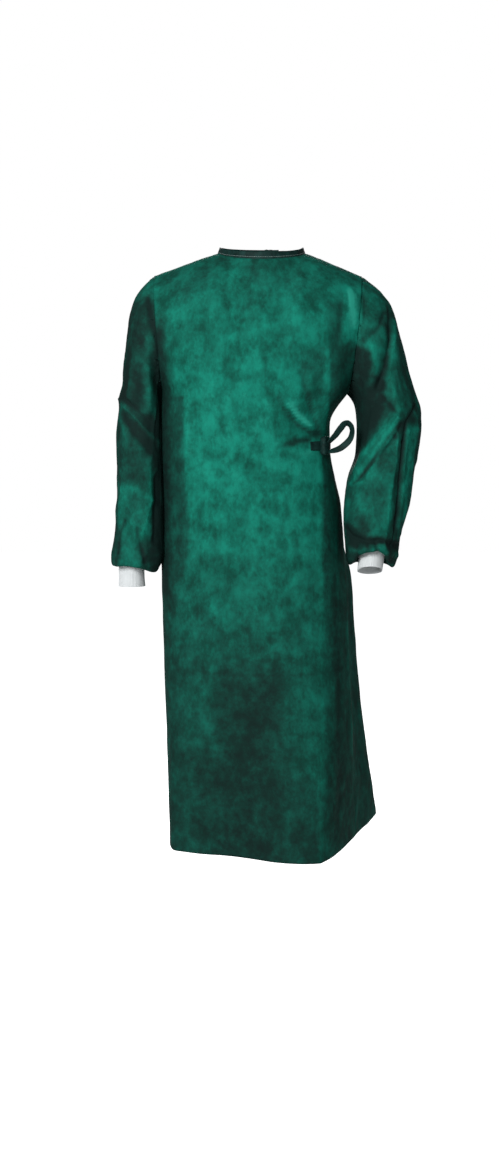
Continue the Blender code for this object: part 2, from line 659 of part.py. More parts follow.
def waist_loop():
    """The bow's loop: a tape swept along its points, its width turned as each says."""
    keys = list(range(len(LOOP)))
    rows = []
    for share in (-0.5, 0.5):
        row = []
        for step in range(2 * len(LOOP) - 1):
            here = LoopPoint(*[smooth_curve(keys, list(column), step / 2) for column in zip(*LOOP)])
            ahead = LoopPoint(*[smooth_curve(keys, list(column), step / 2 + 0.2) for column in zip(*LOOP)])
            behind = LoopPoint(*[smooth_curve(keys, list(column), step / 2 - 0.2) for column in zip(*LOOP)])
            tangent = (Vector(ahead[:3]) - Vector(behind[:3])).normalized()
            in_plane = Vector((0, 1, 0)).cross(tangent).normalized()
            width = Vector((0, 1, 0)).lerp(in_plane, here.facing)
            width = (width - tangent * width.dot(tangent)).normalized()
            point = Vector(here[:3]) + width * share * LOOP_WIDTH
            row.append((point, tangent.cross(width).normalized()))
        rows.append(row)
    return walled_sheet("waist_tie_loop", rows, TAPE_WALL, TAPE)


def neck_ties():
    """The knot of the neck ties, outside the binding's lap, and its two ends that hang on the back."""
    top = body_surface(NECK_KNOT_AROUND, 2.0, "back")
    out = Vector((0, 1, 0))
    lift = BINDING_WALL / 2 + SEAM_GAP + NECK_KNOT.y / 2
    centre = top + Vector((0, lift, WALL / 2 + SEAM_GAP + BINDING_HEIGHT / 2 + NECK_KNOT_RISE))
    knot("neck_tie_knot", NECK_KNOT, centre, out)
    level_per_metre = 1 / (NECK_BACK.z - UNDERARM_HEIGHT)
    for end in NECK_TIE_ENDS:
        beside = math.copysign(NECK_KNOT.x / 4, -end.swing)
        root = centre + Vector((beside, 0, -NECK_KNOT.z / 2 - SEAM_GAP))
        narrow = Vector((NECK_KNOT.x / 2 - 4 * SEAM_GAP, 0, 0))
        rows = [[(root - narrow / 2, out)], [(root + narrow / 2, out)]]
        for step in range(NECK_TIE_ROWS + 1):
            share = step / NECK_TIE_ROWS
            level = NECK_TIE_TOP_LEVEL - share * end.length * level_per_metre
            around = NECK_KNOT_AROUND + math.copysign(NECK_TIE_SPREAD, end.swing) + end.swing * share**0.8
            place = on_body(around, level, NECK_TIE_LIFT)
            facing_out = facing(body_surface, around, level, "back")
            across = facing_out.cross(Vector((0, 0, 1))).normalized()
            for row, side in zip(rows, (-0.5, 0.5)):
                row.append((place + across * side * NECK_TAPE_WIDTH, facing_out))
        walled_sheet(end.name, rows, TAPE_WALL, TAPE)


def clear_scene():
    for thing in list(bpy.data.objects):
        bpy.data.objects.remove(thing, do_unlink=True)


def build():
    clear_scene()
    panel("front_panel", body_surface, RIGHT_SEAM_COLUMN, LAST_COLUMN, "front")
    panel("back_right", body_surface, OUTER_EDGE_COLUMN, RIGHT_SEAM_COLUMN, "back")
    panel("back_left", inner_flap_surface, 0, INNER_EDGE_COLUMN, "back")
    sleeve("sleeve_right", "right", RIGHT_SLEEVE_FOLDS)
    sleeve("sleeve_left", "left", LEFT_SLEEVE_FOLDS)
    cuff("cuff_right", CUFF_RIGHT)
    cuff("cuff_left", CUFF_LEFT)
    neck_binding()
    waist_tie()
    waist_loop()
    neck_ties()


build()
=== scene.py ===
"""Looks of the isolation gown: green nonwoven cloth, knit cuffs, a bound neck and dark tape ties.

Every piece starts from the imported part. The outer side of its solid is copied and refined, creased by
tables of real places, and given a thin wall. Sizes are in metres, apart from the tables of creases and
patches, which are in millimetres. +X is the wearer's left, +Y the back.
"""

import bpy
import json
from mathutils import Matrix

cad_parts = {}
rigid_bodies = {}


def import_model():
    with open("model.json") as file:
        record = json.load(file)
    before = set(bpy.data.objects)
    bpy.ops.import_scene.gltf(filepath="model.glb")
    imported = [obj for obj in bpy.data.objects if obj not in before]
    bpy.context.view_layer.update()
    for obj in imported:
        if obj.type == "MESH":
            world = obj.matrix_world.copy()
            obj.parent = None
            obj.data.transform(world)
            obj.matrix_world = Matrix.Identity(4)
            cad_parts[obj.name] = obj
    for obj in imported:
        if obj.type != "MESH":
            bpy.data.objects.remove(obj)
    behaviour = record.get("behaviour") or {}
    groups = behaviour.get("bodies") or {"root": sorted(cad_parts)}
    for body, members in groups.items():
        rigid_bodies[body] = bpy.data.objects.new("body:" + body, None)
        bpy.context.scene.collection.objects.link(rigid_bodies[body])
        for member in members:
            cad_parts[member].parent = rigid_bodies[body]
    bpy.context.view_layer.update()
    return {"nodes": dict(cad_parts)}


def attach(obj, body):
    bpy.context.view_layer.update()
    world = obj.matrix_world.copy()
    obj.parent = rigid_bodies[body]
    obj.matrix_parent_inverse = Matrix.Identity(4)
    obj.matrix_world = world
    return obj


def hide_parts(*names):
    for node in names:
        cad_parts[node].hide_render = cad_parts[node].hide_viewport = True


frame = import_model()

import json
import math
from collections import namedtuple

import bmesh
import bpy
import numpy as np
from bpy.props import FloatProperty, FloatVectorProperty, IntProperty, PointerProperty
from bpy.types import Operator, Panel, PropertyGroup
from mathutils import Matrix, Vector, noise
from mathutils.bvhtree import BVHTree
from mathutils.kdtree import KDTree

bl_info = {
    "name": "Isolation gown",
    "version": (1, 0, 0),
    "blender": (4, 5, 0),
    "location": "View3D > Sidebar > Gown",
    "description": "Builds the cloth, cuffs, binding and ties of an isolation gown",
    "category": "Object",
}

MM = 0.001
MERGE_DISTANCE = 1e-5
SOLID_WALL = {"cloth": 0.0015, "knit": 0.002, "binding": 0.0022, "tape": 0.0014}

# A line pressed or pulled into the cloth, in the plane of the front (x, z), in millimetres. A positive
# depth stands out. Sharp runs from 0, a soft roll, to 1, a pressed edge.
Crease = namedtuple("Crease", "width depth_1 depth_2 sharp points")
BODY_CREASES = [
    # the tape's pull on the front
    Crease(9, -1.4, -5.2, 0.5, ((14, -262), (49, -310), (70, -331), (109, -354))),
    Crease(8, -2, -5.2, 0.5, ((68, -215), (84, -273), (95, -302), (113, -350))),
    Crease(6, 1.4, 3.4, 0.6, ((88, -231), (100, -293), (112, -341))),
    Crease(6, 1.6, 3.6, 0.5, ((40, -288), (66, -315), (100, -338))),
    Crease(7, -1.4, -4, 0.5, ((40, -376), (64, -364), (94, -360))),
    Crease(6, 0.6, 1.8, 0.3, ((64, -390), (94, -383))),
    # edges where the front turns to the sides
    Crease(7, 1, 3, 0.8, ((123, -153), (126, -303), (123, -344))),
    Crease(9, 1.5, 1, 0.6, ((-146, -256), (-151, -436), (-144, -552))),
    Crease(9, 1.2, 2.2, 0.7, ((114, -379), (116, -748), (114, -1196))),
    # folds from packing
    Crease(4, -0.9, -0.9, 0.9, ((-170, -812), (162, -814))),
    Crease(4, 0.5, 0.5, 0.9, ((-175, -490), (139, -486))),
    Crease(4, 0.9, 0.9, 0.9, ((-98, -650), (-102, -1190))),
    Crease(4, 0.9, 0.9, 0.9, ((46, -650), (48, -1200))),
    Crease(4, -0.5, -0.5, 0.9, ((-26, -27), (-26, -475), (-26, -1196))),
    # shoulders and chest
    Crease(9, -1.6, -0.4, 0.4, ((-109, -27), (-113, -79), (-104, -153))),
    Crease(8, -1.8, -0.8, 0.5, ((-21, -27), (-4, -71), (0, -97))),
    Crease(10, 1, 0.2, 0.2, ((-55, -27), (-51, -97))),
    Crease(11, -1, -0.2, 0.3, ((51, -27), (43, -97), (47, -153))),
    Crease(8, -2.4, -0.8, 0.6, ((151, -97), (146, -153), (139, -190))),
    Crease(8, 2.2, 1.2, 0.4, ((168, -82), (165, -138))),
    # the skirt's side
    Crease(8, -1.2, -2, 0.4, ((141, -417), (147, -709), (157, -1072))),
    Crease(8, -2, 0, 0.4, ((157, -1072), (136, -1179))),
    Crease(4, 2, 1.6, 0.9, ((173, -730), (181, -900), (190, -1060))),
]
RIGHT_SLEEVE_CREASES = [
    Crease(5, -3, -1.5, 0.6, ((-223, -87), (-214, -140))),
    Crease(6, 1.8, 0.8, 0.4, ((-203, -87), (-204, -135))),
    Crease(9, 2, 2.5, 0.3, ((-220, -159), (-222, -245), (-219, -303))),
    Crease(7, -2.2, -1.5, 0.5, ((-198, -159), (-193, -245), (-189, -361))),
    # the elbow
    Crease(6, 2.6, 1.8, 0.8, ((-281, -287), (-256, -309), (-231, -338), (-204, -369))),
    Crease(6, -2.6, -1.2, 0.6, ((-275, -276), (-246, -299), (-216, -330))),
    Crease(7, 1.8, 0.8, 0.5, ((-280, -303), (-274, -332), (-263, -365))),
    Crease(7, -2.6, -0.8, 0.5, ((-272, -312), (-253, -345), (-220, -384))),
    # the forearm
    Crease(7, 1.5, 2.5, 0.5, ((-220, -396), (-221, -449), (-219, -478))),
    Crease(7, 2.5, 1.4, 0.5, ((-219, -478), (-227, -518), (-240, -557))),
    Crease(7, -2, -2.5, 0.4, ((-209, -435), (-212, -557))),
    Crease(7, 1.2, 0.8, 0.4, ((-278, -455), (-260, -451), (-240, -462))),
    Crease(5, -2.2, -1.8, 0.6, ((-271, -518), (-281, -541), (-285, -581))),
    Crease(5, -1.6, -2, 0.6, ((-245, -533), (-238, -567), (-230, -601))),
    Crease(6, -1.4, -0.8, 0.4, ((-261, -502), (-245, -518), (-225, -512))),
]
LEFT_SLEEVE_CREASES = [
    Crease(4, -2.4, -2, 0.8, ((196, -79), (196, -128))),
    Crease(6, 2.6, 1.5, 0.6, ((182, -75), (189, -128))),
    Crease(6, -2.6, -1.8, 0.6, ((237, -116), (222, -147), (195, -169))),
    Crease(7, -3.4, -2.6, 0.6, ((248, -103), (247, -169), (238, -217), (223, -261))),
    Crease(7, 2.6, 1.8, 0.5, ((258, -131), (255, -179), (246, -226), (262, -293))),
    Crease(9, 2.2, 1, 0.3, ((211, -179), (217, -217), (212, -255))),
    # the elbow
    Crease(7, 3, 2.6, 0.7, ((266, -303), (244, -332), (213, -370), (179, -419))),
    Crease(6, -2.6, -2, 0.6, ((271, -330), (248, -368), (210, -411), (175, -450))),
    Crease(5, 2, 2.2, 0.8, ((257, -345), (233, -380), (198, -442), (171, -450))),
    Crease(6, -2.4, -1.6, 0.5, ((235, -280), (259, -307))),
    Crease(5, -3, -3.4, 0.8, ((301, -293), (282, -322), (275, -364))),
    Crease(4, -3.4, -2.6, 0.9, ((275, -364), (267, -438), (262, -497), (253, -566))),
    Crease(5, 2.2, 1.8, 0.7, ((285, -341), (276, -419), (273, -477), (266, -532))),
    Crease(5, 2.4, 1.8, 0.8, ((263, -345), (260, -399), (246, -477), (237, -566))),
    Crease(5, 1.6, 1, 0.6, ((308, -341), (285, -345))),
    # the puffed end
    Crease(5, -3.2, -3.6, 0.7, ((164, -532), (176, -548), (204, -556), (227, -552), (263, -566))),
    Crease(7, 2.4, 2.4, 0.3, ((168, -572), (196, -576), (227, -568), (267, -588))),
    Crease(4, -2, -1.2, 0.6, ((219, -556), (226, -588))),
    Crease(5, -1.6, -2, 0.5, ((247, -564), (251, -600))),
    Crease(5, -1.8, -1.2, 0.5, ((184, -566), (188, -596))),
]

BACK_CREASES = [
    Crease(4, -0.9, -0.9, 0.9, ((-190, -813), (260, -813))),
    Crease(4, 0.8, 0.8, 0.9, ((-100, -430), (-104, -1170))),
    Crease(4, 0.8, 0.8, 0.9, ((130, -430), (150, -1170))),
    Crease(8, -1.6, -2.6, 0.5, ((-30, -250), (10, -340), (40, -368))),
    Crease(8, -1, -3, 0.6, ((-110, -330), (-40, -360), (20, -374))),
    Crease(7, 0.8, 2.4, 0.5, ((-80, -290), (-10, -345), (30, -366))),
    Crease(8, -0.8, -2.6, 0.5, ((-90, -440), (-20, -390), (30, -380))),
    Crease(10, -1.4, -1, 0.4, ((-150, -120), (-140, -200), (-128, -280))),
    Crease(10, -1.4, -1, 0.4, ((140, -110), (128, -190), (118, -270))),
    Crease(9, -1.2, -0.4, 0.5, ((15, -20), (30, -80), (60, -130))),
    Crease(9, -1.2, -0.4, 0.5, ((-30, -10), (-60, -60), (-100, -100))),
]
SLEEVE_BACK_CREASES = {
    "sleeve_right": [
        Crease(7, -2.6, -1.6, 0.6, ((-286, -300), (-255, -322), (-220, -350))),
        Crease(7, 2.2, 1.2, 0.6, ((-286, -320), (-250, -345), (-212, -380))),
        Crease(6, -2.2, -1.2, 0.6, ((-284, -345), (-250, -372), (-215, -395))),
        Crease(7, -2, -2.4, 0.5, ((-262, -400), (-256, -480), (-262, -560))),
        Crease(7, 1.8, 2.2, 0.5, ((-240, -420), (-236, -500), (-232, -570))),
    ],
    "sleeve_left": [
        Crease(7, -2.6, -1.6, 0.6, ((310, -300), (280, -330), (240, -352))),
        Crease(7, 2.2, 1.2, 0.6, ((312, -325), (270, -355), (225, -380))),
        Crease(6, -2.2, -1.2, 0.6, ((308, -352), (262, -385), (215, -405))),
        Crease(7, -2, -2.4, 0.5, ((272, -400), (255, -470), (236, -540))),
        Crease(7, 1.8, 2.2, 0.5, ((240, -410), (222, -480), (205, -550))),
    ],
}

# Painted shade and painted highlight: the cloth's colour is painted darker where light falls off, at the
# sides, under the arms, in folds and low on the skirt, and lighter where light falls full. Patches are
# painted in this order over a ground that changes with height: the shade from 0, light, to 1, dark, then
# the softness of the rim and the corners (x, z), in millimetres.
Patch = namedtuple("Patch", "shade rim points")
FRONT_PATCHES = [
    # the sides, painted dark as shade where the cloth turns from the light
    Patch(0.66, 20, ((-251, -97), (-189, -130), (-173, -274), (-171, -436), (-166, -591), (-169, -748),
                     (-177, -1200), (-265, -1200))),
    Patch(0.6, 5, ((-215, -269), (-150, -276), (-149, -379), (-151, -436), (-144, -484), (-142, -552),
                   (-157, -630), (-219, -669))),
    Patch(0.86, 12, ((-255, -134), (-193, -153), (-181, -284), (-180, -417), (-184, -669), (-262, -669))),
    Patch(0.58, 6, ((125, -181), (127, -352), (157, -352), (189, -246), (169, -171))),
    Patch(0.6, 8, ((114, -383), (118, -748), (113, -868), (116, -1217), (276, -1217), (263, -383))),
    Patch(0.42, 5, ((133, -390), (144, -390), (153, -669), (137, -669))),
    Patch(0.62, 16, ((154, -591), (266, -591), (276, -1217), (166, -1217))),
    # painted shade in the folds that the tape pulls, and a painted highlight between them
    Patch(0.4, 6, ((70, -190), (80, -265), (96, -312), (110, -352), (125, -352), (122, -181))),
    Patch(0.32, 6, ((70, -225), (78, -222), (92, -272), (104, -302), (118, -345), (107, -348), (92, -306),
                    (79, -276))),
    Patch(0.28, 6, ((20, -262), (30, -268), (54, -303), (76, -325), (108, -344), (104, -353), (66, -337),
                    (43, -313))),
    Patch(-0.3, 5, ((44, -288), (56, -290), (78, -316), (100, -334), (90, -337), (66, -323))),
    Patch(0.46, 8, ((33, -373), (56, -352), (94, -354), (94, -365), (64, -371))),
    Patch(0.62, 7, ((158, -200), (166, -180), (205, -180), (200, -310), (150, -330))),
    # painted shade on the middle of the skirt and its sides, and a lighter line, a painted highlight, down
    # the pressed edge of the left one
    Patch(0.8, 50, ((-88, -812), (40, -806), (44, -1240), (-100, -1240))),
    Patch(0.52, 34, ((-150, -735), (-99, -748), (-96, -960), (-142, -960))),
    Patch(0.46, 34, ((56, -740), (107, -740), (110, -1020), (56, -1000))),
    Patch(0.4, 4, ((170.5, -728), (175.5, -728), (192.5, -1060), (187.5, -1060))),
    # painted highlights and painted shade on the shoulders
    Patch(-0.08, 8, ((158, -66), (187, -79), (186, -153), (165, -153))),
    Patch(-0.42, 5, ((163, -72), (171, -70), (177, -110), (176, -148), (169, -118))),
    Patch(0.45, 9, ((123, -97), (153, -97), (152, -181), (127, -190))),
    Patch(0.5, 18, ((-185, -60), (-118, -27), (-90, -51), (-157, -97))),
]
# Painted shade and painted highlight on the right sleeve: darkest between the sleeve and the body, lighter
# on the forearm.
RIGHT_SLEEVE_PATCHES = [
    Patch(0.78, 30, ((-330, -60), (-160, -110), (-150, -400), (-330, -400))),
    Patch(0.86, 9, ((-322, -18), (-254, -93), (-270, -284), (-316, -284))),
    Patch(0.84, 7, ((-232, -211), (-220, -169), (-211, -274), (-221, -307))),
    Patch(0.97, 6, ((-210, -127), (-159, -127), (-163, -677), (-225, -677), (-218, -557), (-213, -439),
                    (-224, -384), (-205, -284))),
    # the forearm
    Patch(0.66, 9, ((-276, -322), (-253, -338), (-226, -384), (-228, -435), (-285, -439))),
    Patch(0.34, 9, ((-285, -451), (-238, -439), (-219, -476), (-224, -553), (-244, -567), (-281, -557))),
    Patch(0.4, 9, ((-281, -567), (-248, -561), (-236, -621), (-270, -621))),
    Patch(0.7, 6, ((-319, -439), (-288, -458), (-286, -597), (-322, -677))),
]
# Painted shade and painted highlight on the left sleeve: darkest under the arm, with highlights along the
# elbow's folds and the forearm.
LEFT_SLEEVE_PATCHES = [
    Patch(0.62, 8, ((252, -74), (322, -74), (326, -284), (277, -284), (260, -188))),
    Patch(0.34, 8, ((202, -154), (234, -150), (242, -178), (235, -230), (212, -222), (200, -192))),
    Patch(0.98, 7, ((150, -192), (190, -180), (210, -192), (214, -230), (240, -253), (233, -303),
                    (214, -353), (187, -404), (152, -419))),
    # the elbow and the forearm
    Patch(0.42, 5, ((214, -361), (250, -305), (262, -318), (232, -373), (176, -443), (170, -435))),
    Patch(0.41, 6, ((251, -353), (263, -363), (252, -439), (244, -541), (216, -543), (188, -494),
                    (176, -451), (211, -411))),
    Patch(0.06, 3, ((262, -312), (268, -318), (222, -382), (176, -452), (171, -446))),
    Patch(0.55, 7, ((162, -458), (184, -502), (204, -541), (163, -541))),
    Patch(0.6, 4, ((266, -353), (282, -326), (268, -478), (258, -573), (246, -573), (252, -458))),
    Patch(0.16, 7, ((284, -332), (307, -332), (293, -439), (279, -518), (269, -518), (277, -419))),
    # the puffed end
    Patch(0.82, 5, ((143, -514), (177, -525), (204, -547), (240, -549), (272, -561), (273, -637),
                    (144, -637))),
    Patch(0.45, 5, ((205, -559), (236, -559), (240, -581), (209, -581))),
]
# Painted shade on the back: darker at the sides and low on the skirt.
BACK_PATCHES = [
    Patch(0.66, 20, ((-300, -120), (-150, -150), (-150, -1220), (-300, -1220))),
    Patch(0.66, 20, ((330, -120), (140, -150), (150, -560), (200, -1220), (330, -1220))),
    Patch(0.55, 8, ((28, -60), (50, -60), (60, -360), (75, -1220), (40, -1220))),
    Patch(0.45, 12, ((-90, -400), (-60, -400), (-40, -1220), (-100, -1220))),
    Patch(0.72, 30, ((-130, -900), (180, -900), (190, -1220), (-130, -1220))),
]
# The ground under the patches, a painted shade by height that is darkest low down: height and shade.
BODY_GROUND = ((0.0, 0.38), (-0.06, 0.30), (-0.14, 0.13), (-0.28, 0.0), (-0.45, 0.04), (-0.55, 0.18),
               (-0.66, 0.37), (-0.76, 0.50), (-0.86, 0.60), (-1.00, 0.67), (-1.20, 0.68))
SLEEVE_GROUND = ((0.0, 0.32), (-0.10, 0.40), (-0.20, 0.54), (-0.36, 0.62), (-0.50, 0.58), (-0.64, 0.68))
# Painted highlight on raised creases and painted shade in hollows: the shade taken off per metre of lift,
# and how far it may go each way.
SHADE_BY_LIFT = 95.0
SHADE_BY_LIFT_RANGE = (-0.42, 0.30)

# How a sheet is cut and refined: its flat width and length, its real cut area, and the levels of
# subdivision.
Sheet = namedtuple("Sheet", "width length area levels")
SHEETS = {
    "front_panel": Sheet(0.76, 1.20, 0.669, 2),
    "back_right": Sheet(0.46, 1.20, 0.377, 2),
    "back_left": Sheet(0.52, 1.20, 0.436, 2),
    "sleeve_right": Sheet(0.40, 0.60, 0.192, 3),
    "sleeve_left": Sheet(0.42, 0.62, 0.212, 3),
    "cuff_right": Sheet(0.18, 0.056, None, 4),
    "cuff_left": Sheet(0.18, 0.044, None, 4),
    "neck_binding": Sheet(0.62, 0.0163, None, 2),
    "neck_tie_end_right": Sheet(0.011, 0.170, None, 2),
    "neck_tie_end_left": Sheet(0.011, 0.145, None, 2),
    "waist_tie_front": Sheet(0.017, 0.0285, None, 2),
    "waist_tie_back": Sheet(0.017, 0.345, None, 2),
    "waist_tie_loop": Sheet(0.013, 0.150, None, 2),
}
# Middle lines of the body and the arms from the top down (x, y, z), and the radii of the flat maps.
BODY_MIDDLE = ((-0.005, 0.005, 0.0), (-0.020, 0.012, -0.40), (0.010, 0.026, -1.18))
SLEEVE_MIDDLE = {
    "sleeve_right": ((-0.220, 0.003, -0.10), (-0.240, -0.005, -0.25), (-0.247, -0.020, -0.38),
                     (-0.250, -0.035, -0.60)),
    "sleeve_left": ((0.205, 0.003, -0.10), (0.245, -0.008, -0.25), (0.250, -0.022, -0.37),
                    (0.232, -0.050, -0.49), (0.216, -0.070, -0.60)),
}
UPRIGHT = ((0.0, 0.0, 0.1), (0.0, 0.0, -1.1))
MAP_RADIUS = {"body": 0.17, "sleeve": 0.05, "cuff": 0.028, "binding": 0.08, "tape": 0.1}

# The sheet's cells: a rim cell is this many walls wide at the most, a steep edge rises this share of its
# length, and a taller cell is halved.
RIM_WIDTH = 1.12
STEEP = 0.8
TALL_CELL = 0.030

# How fast the edge of a pressed crease falls off within its width.
PRESSED_FALL = 1.6

# Noise: a ridge's sharpness, how far and how finely its cells bend, and places in the noise, far apart,
# that give the three parts of a bend.
RIDGE_SHARPNESS = 2.4
BEND_REACH = 0.8
BEND_SCALE = 0.6
BEND_SHIFTS = (Vector((9.3, -1.5, -7.9)), Vector((-6.7, 12.4, 3.2)), Vector((2.8, -8.6, 15.1)))

# The grain of crumpled cloth. A ridge has a size, a stretch upward and a seed, and a swell a height too.
Grain = namedtuple("Grain", "ridge swells")
BODY_GRAIN = Grain((0.085, 1.7, 4.0), ((0.030, 1.5, 9.0, 0.0008), (0.009, 1.4, 2.0, 0.0002)))
SLEEVE_GRAIN = Grain((0.046, 2.2, 6.0), ((0.022, 1.8, 3.0, 0.0012), (0.007, 1.4, 7.0, 0.0003)))

# Seams: how near two edges are sewn, how far one is tucked under, how high the lower end's edge counts as
# level, and how the cloth lies flat, turns in and puckers beside them.
PANELS = ("front_panel_cloth", "back_right_cloth", "back_left_cloth")
SEAM_REACH = 0.006
TUCK = 0.0016
LOWER_END = 0.06
SEAM_FLAT = 0.006
SEAM_ROLL = 0.0035
TURN_IN = 0.0008
PUCKER = (0.0075, 1.0, 5.0)
PUCKER_START = 0.004

# The skirt: its flare to the left, its left flank in plan (x, y), pressed flat between two edges, and its
# right edge, which is squared.
FLARE = 0.0085
FLARE_EDGE, FLARE_BLEND = 0.10, 0.09
FLARE_TOP, FLARE_FALL = -0.56, 0.14
FLANK_START = (0.110, -0.197)
FLANK_END = (0.246, 0.108)
FLANK_PRESS = 0.65
FLANK_TOP, FLANK_FALL = -0.80, 0.33
SQUARE_EDGE = (-0.180, -0.098)
SQUARE_WAY = (-0.15, -0.98)
SQUARE_REACH = 0.016
SQUARE_SPREAD = 0.032
SQUARE_TOP, SQUARE_FALL = -0.85, 0.25

# The sleeves: the right one's inner side rests against the body and its elbow kinks. An end rises over
# the cuff and droops beside it.
REST_PUSH = 0.0085
REST_TOP, REST_FALL = -0.245, 0.06
REST_END, REST_RISE = -0.62, 0.04
ELBOW_HEIGHT = -0.281
ELBOW_POINT, ELBOW_POINT_REACH = 0.0045, 0.008
ELBOW_HOLLOW, ELBOW_HOLLOW_ABOVE, ELBOW_HOLLOW_REACH = 0.0030, 0.030, 0.018
END_BAND = 0.045
END_TOP, END_FALL = 0.050, 0.035
EndShape = namedtuple("EndShape", "rise droop")
END_SHAPES = {"sleeve_right": EndShape(0.0030, 0.0021), "sleeve_left": EndShape(0.0150, 0.0140)}
ARCH_HALF, ARCH_BLEND = 0.25, 0.40
DROOP_START, DROOP_BLEND = 0.50, 0.40
SIDE_TURN, INNER_SPREAD, OUTER_SPREAD = 0.1, 0.7, 0.6
TUBE_FRONT, TUBE_BLEND = 0.012, 0.035

# Cuffs, binding and ties. A swell has a size, a stretch upward and a seed.
CUFF_HALF_WIDTH, CUFF_HALF_DEPTH = 0.025, 0.031
CUFF_RISE = 0.0070
CUFF_INSET = 0.0004
RIB_MIDDLE = 0.6
RIB_SWAY, RIB_SWAY_TURN = (0.018, 2.0, 8.0), 0.06
CUFF_SLACK, CUFF_SLACK_HEIGHT = (0.016, 1.6, 1.0), 0.0009
CUFF_WALL = SOLID_WALL["knit"] * 0.7
BINDING_WALL = 0.0018
BINDING_SWELL, BINDING_SWELL_HEIGHT = (0.011, 1.0, 4.0), 0.0005
FOLD_OUT, FOLD_DOWN = 0.0012, 0.0030
FOLD_REACH = 0.012
FOLD_HEIGHT = 0.010
FOLD_LOOSE = 0.5
STITCH_HEIGHT = 0.0052
THREAD_ROUND = 0.3
THREAD_STAND = 0.3
TAPE_SWELL = (0.012, 1.0, 3.0)
TAPE_INSET = 0.0001
TAPE_SLIDE, TAPE_ONWARD = 0.72, 0.0045
WRAP_HEIGHT = 0.0011
WRAP_ROUND, WRAP_MIDDLE = 0.5, 0.8
KNOT_SWELL, KNOT_SWELL_HEIGHT = (0.006, 1.0, 3.0), 0.0006
# The middle line of the waist loop, from the knot over its top and back, and how much farther its outer
# edge is turned to the front.
LoopTurn = namedtuple("LoopTurn", "x y z turn")
LOOP_TURNS = [
    LoopTurn(0.1289, -0.086, -0.366, 0.25),
    LoopTurn(0.1415, -0.094, -0.351, 0.70),
    LoopTurn(0.1530, -0.096, -0.335, 0.75),
    LoopTurn(0.1620, -0.092, -0.327, 0.65),
    LoopTurn(0.1710, -0.088, -0.332, 0.45),
    LoopTurn(0.1745, -0.086, -0.343, 0.20),
    LoopTurn(0.1715, -0.086, -0.357, 0.05),
    LoopTurn(0.1600, -0.088, -0.370, 0.00),
    LoopTurn(0.1287, -0.086, -0.383, 0.00),
]


def length(name, description, default, low, high):
    """A setting that is a length."""
    return FloatProperty(name=name, description=description, default=default, min=low, max=high,
                         precision=4, unit="LENGTH")


def factor(name, description, default, high):
    """A setting that is a share, from nothing up."""
    return FloatProperty(name=name, description=description, default=default, min=0.0, max=high,
                         subtype="FACTOR")


def tint(name, description, default):
    """A setting that is a colour."""
    return FloatVectorProperty(name=name, description=description, default=default, min=0.0, max=1.0,
                               subtype="COLOR")


class GownClothSettings(PropertyGroup):
    """The green nonwoven cloth of the panels and sleeves."""

    wall: length("Wall", "Thickness of the cloth", 0.0011, 0.0003, 0.0015)
    crease: factor("Creases", "Share of each crease's depth", 1.0, 2.0)
    crease_sleeve: factor("Sleeve creases", "Share of each crease's depth in the sleeves", 1.5, 3.0)
    crumple_body: length("Body crumple", "Height of the fine ridges in the panels", 0.0007, 0.0, 0.005)
    crumple_sleeve: length("Sleeve crumple", "Height of the fine ridges in the sleeves", 0.0016, 0.0, 0.005)
    dark: tint("Dark green", "Cloth where its fibres lie thin", (0.0028, 0.062, 0.042))
    light: tint("Light green", "Cloth where its fibres lie thick", (0.0074, 0.222, 0.156))
    # The pale and the deep green are the colours of the painted highlight and the painted shade.
    pale: tint("Pale green", "Cloth where it is pressed or pulled flat", (0.020, 0.290, 0.212))
    painted_shade_green: tint("Deep green", "Cloth where it hangs free", (0.0062, 0.0175, 0.0152))
    cloud: length("Cloud size", "Size of the clouds of thick and thin fibre", 0.042, 0.005, 0.5)
    streak: length("Streak size", "Size of the streaks of fibre in the clouds", 0.017, 0.001, 0.1)
    bond: length("Bond pitch", "Distance between the points pressed in the cloth", 0.0022, 0.0005, 0.02)


class GownTrimSettings(PropertyGroup):
    """Binding, ties, cuffs and thread."""

    tape_wall: length("Tape wall", "Thickness of the ties", 0.0010, 0.0003, 0.0014)
    tape: tint("Tape green", "Colour of the binding and ties", (0.0043, 0.0215, 0.0187))
    knit: tint("Knit white", "Colour of the cuffs", (0.74, 0.77, 0.78))
    thread: tint("Thread", "Colour of the stitches of the binding", (0.30, 0.38, 0.37))
    ribs: IntProperty(name="Ribs", description="Knit ribs round each cuff", default=54, min=12, max=120)
    rib_depth: length("Rib depth", "Height of each rib of a cuff", 0.0007, 0.0, 0.003)
    stitch: length("Stitch", "Length of a stitch", 0.0027, 0.001, 0.01)
    stitch_gap: length("Stitch gap", "Distance between two stitches", 0.0009, 0.0002, 0.01)
    thread_width: length("Thread width", "Thickness of the thread", 0.0007, 0.0002, 0.003)


class GownStageSettings(PropertyGroup):
    """Camera, floor and lights."""

    camera: FloatVectorProperty(name="Camera", description="Place of the camera",
                                default=(-0.0254, -2.6, -0.30), subtype="TRANSLATION")
    aim: FloatVectorProperty(name="Aim", description="Point in the middle of the picture",
                             default=(-0.0254, 0.0, -0.655), subtype="TRANSLATION")
    lens: FloatProperty(name="Lens", description="Focal length for a 36 mm tall picture, in millimetres",
                        default=39.6, min=10.0, max=200.0)
    floor: FloatProperty(name="Floor", description="Height of the floor", default=-1.60, unit="LENGTH")
    key: FloatProperty(name="Key light", description="Power of the large light above the camera",
                       default=74.0, min=0.0, unit="POWER")
    fill: FloatProperty(name="Back light", description="Power of the light behind the gown",
                        default=52.0, min=0.0, unit="POWER")
    sky: FloatProperty(name="Room light", description="Strength of the light from all round",
                       default=0.24, min=0.0, max=5.0)


def smooth(values):
    values = np.clip(values, 0.0, 1.0)
    return values * values * (3 - 2 * values)


def below(heights, top, fall):
    """0 above a height, and 1 once it has fallen some way under it."""
    return smooth((top - heights) / fall)


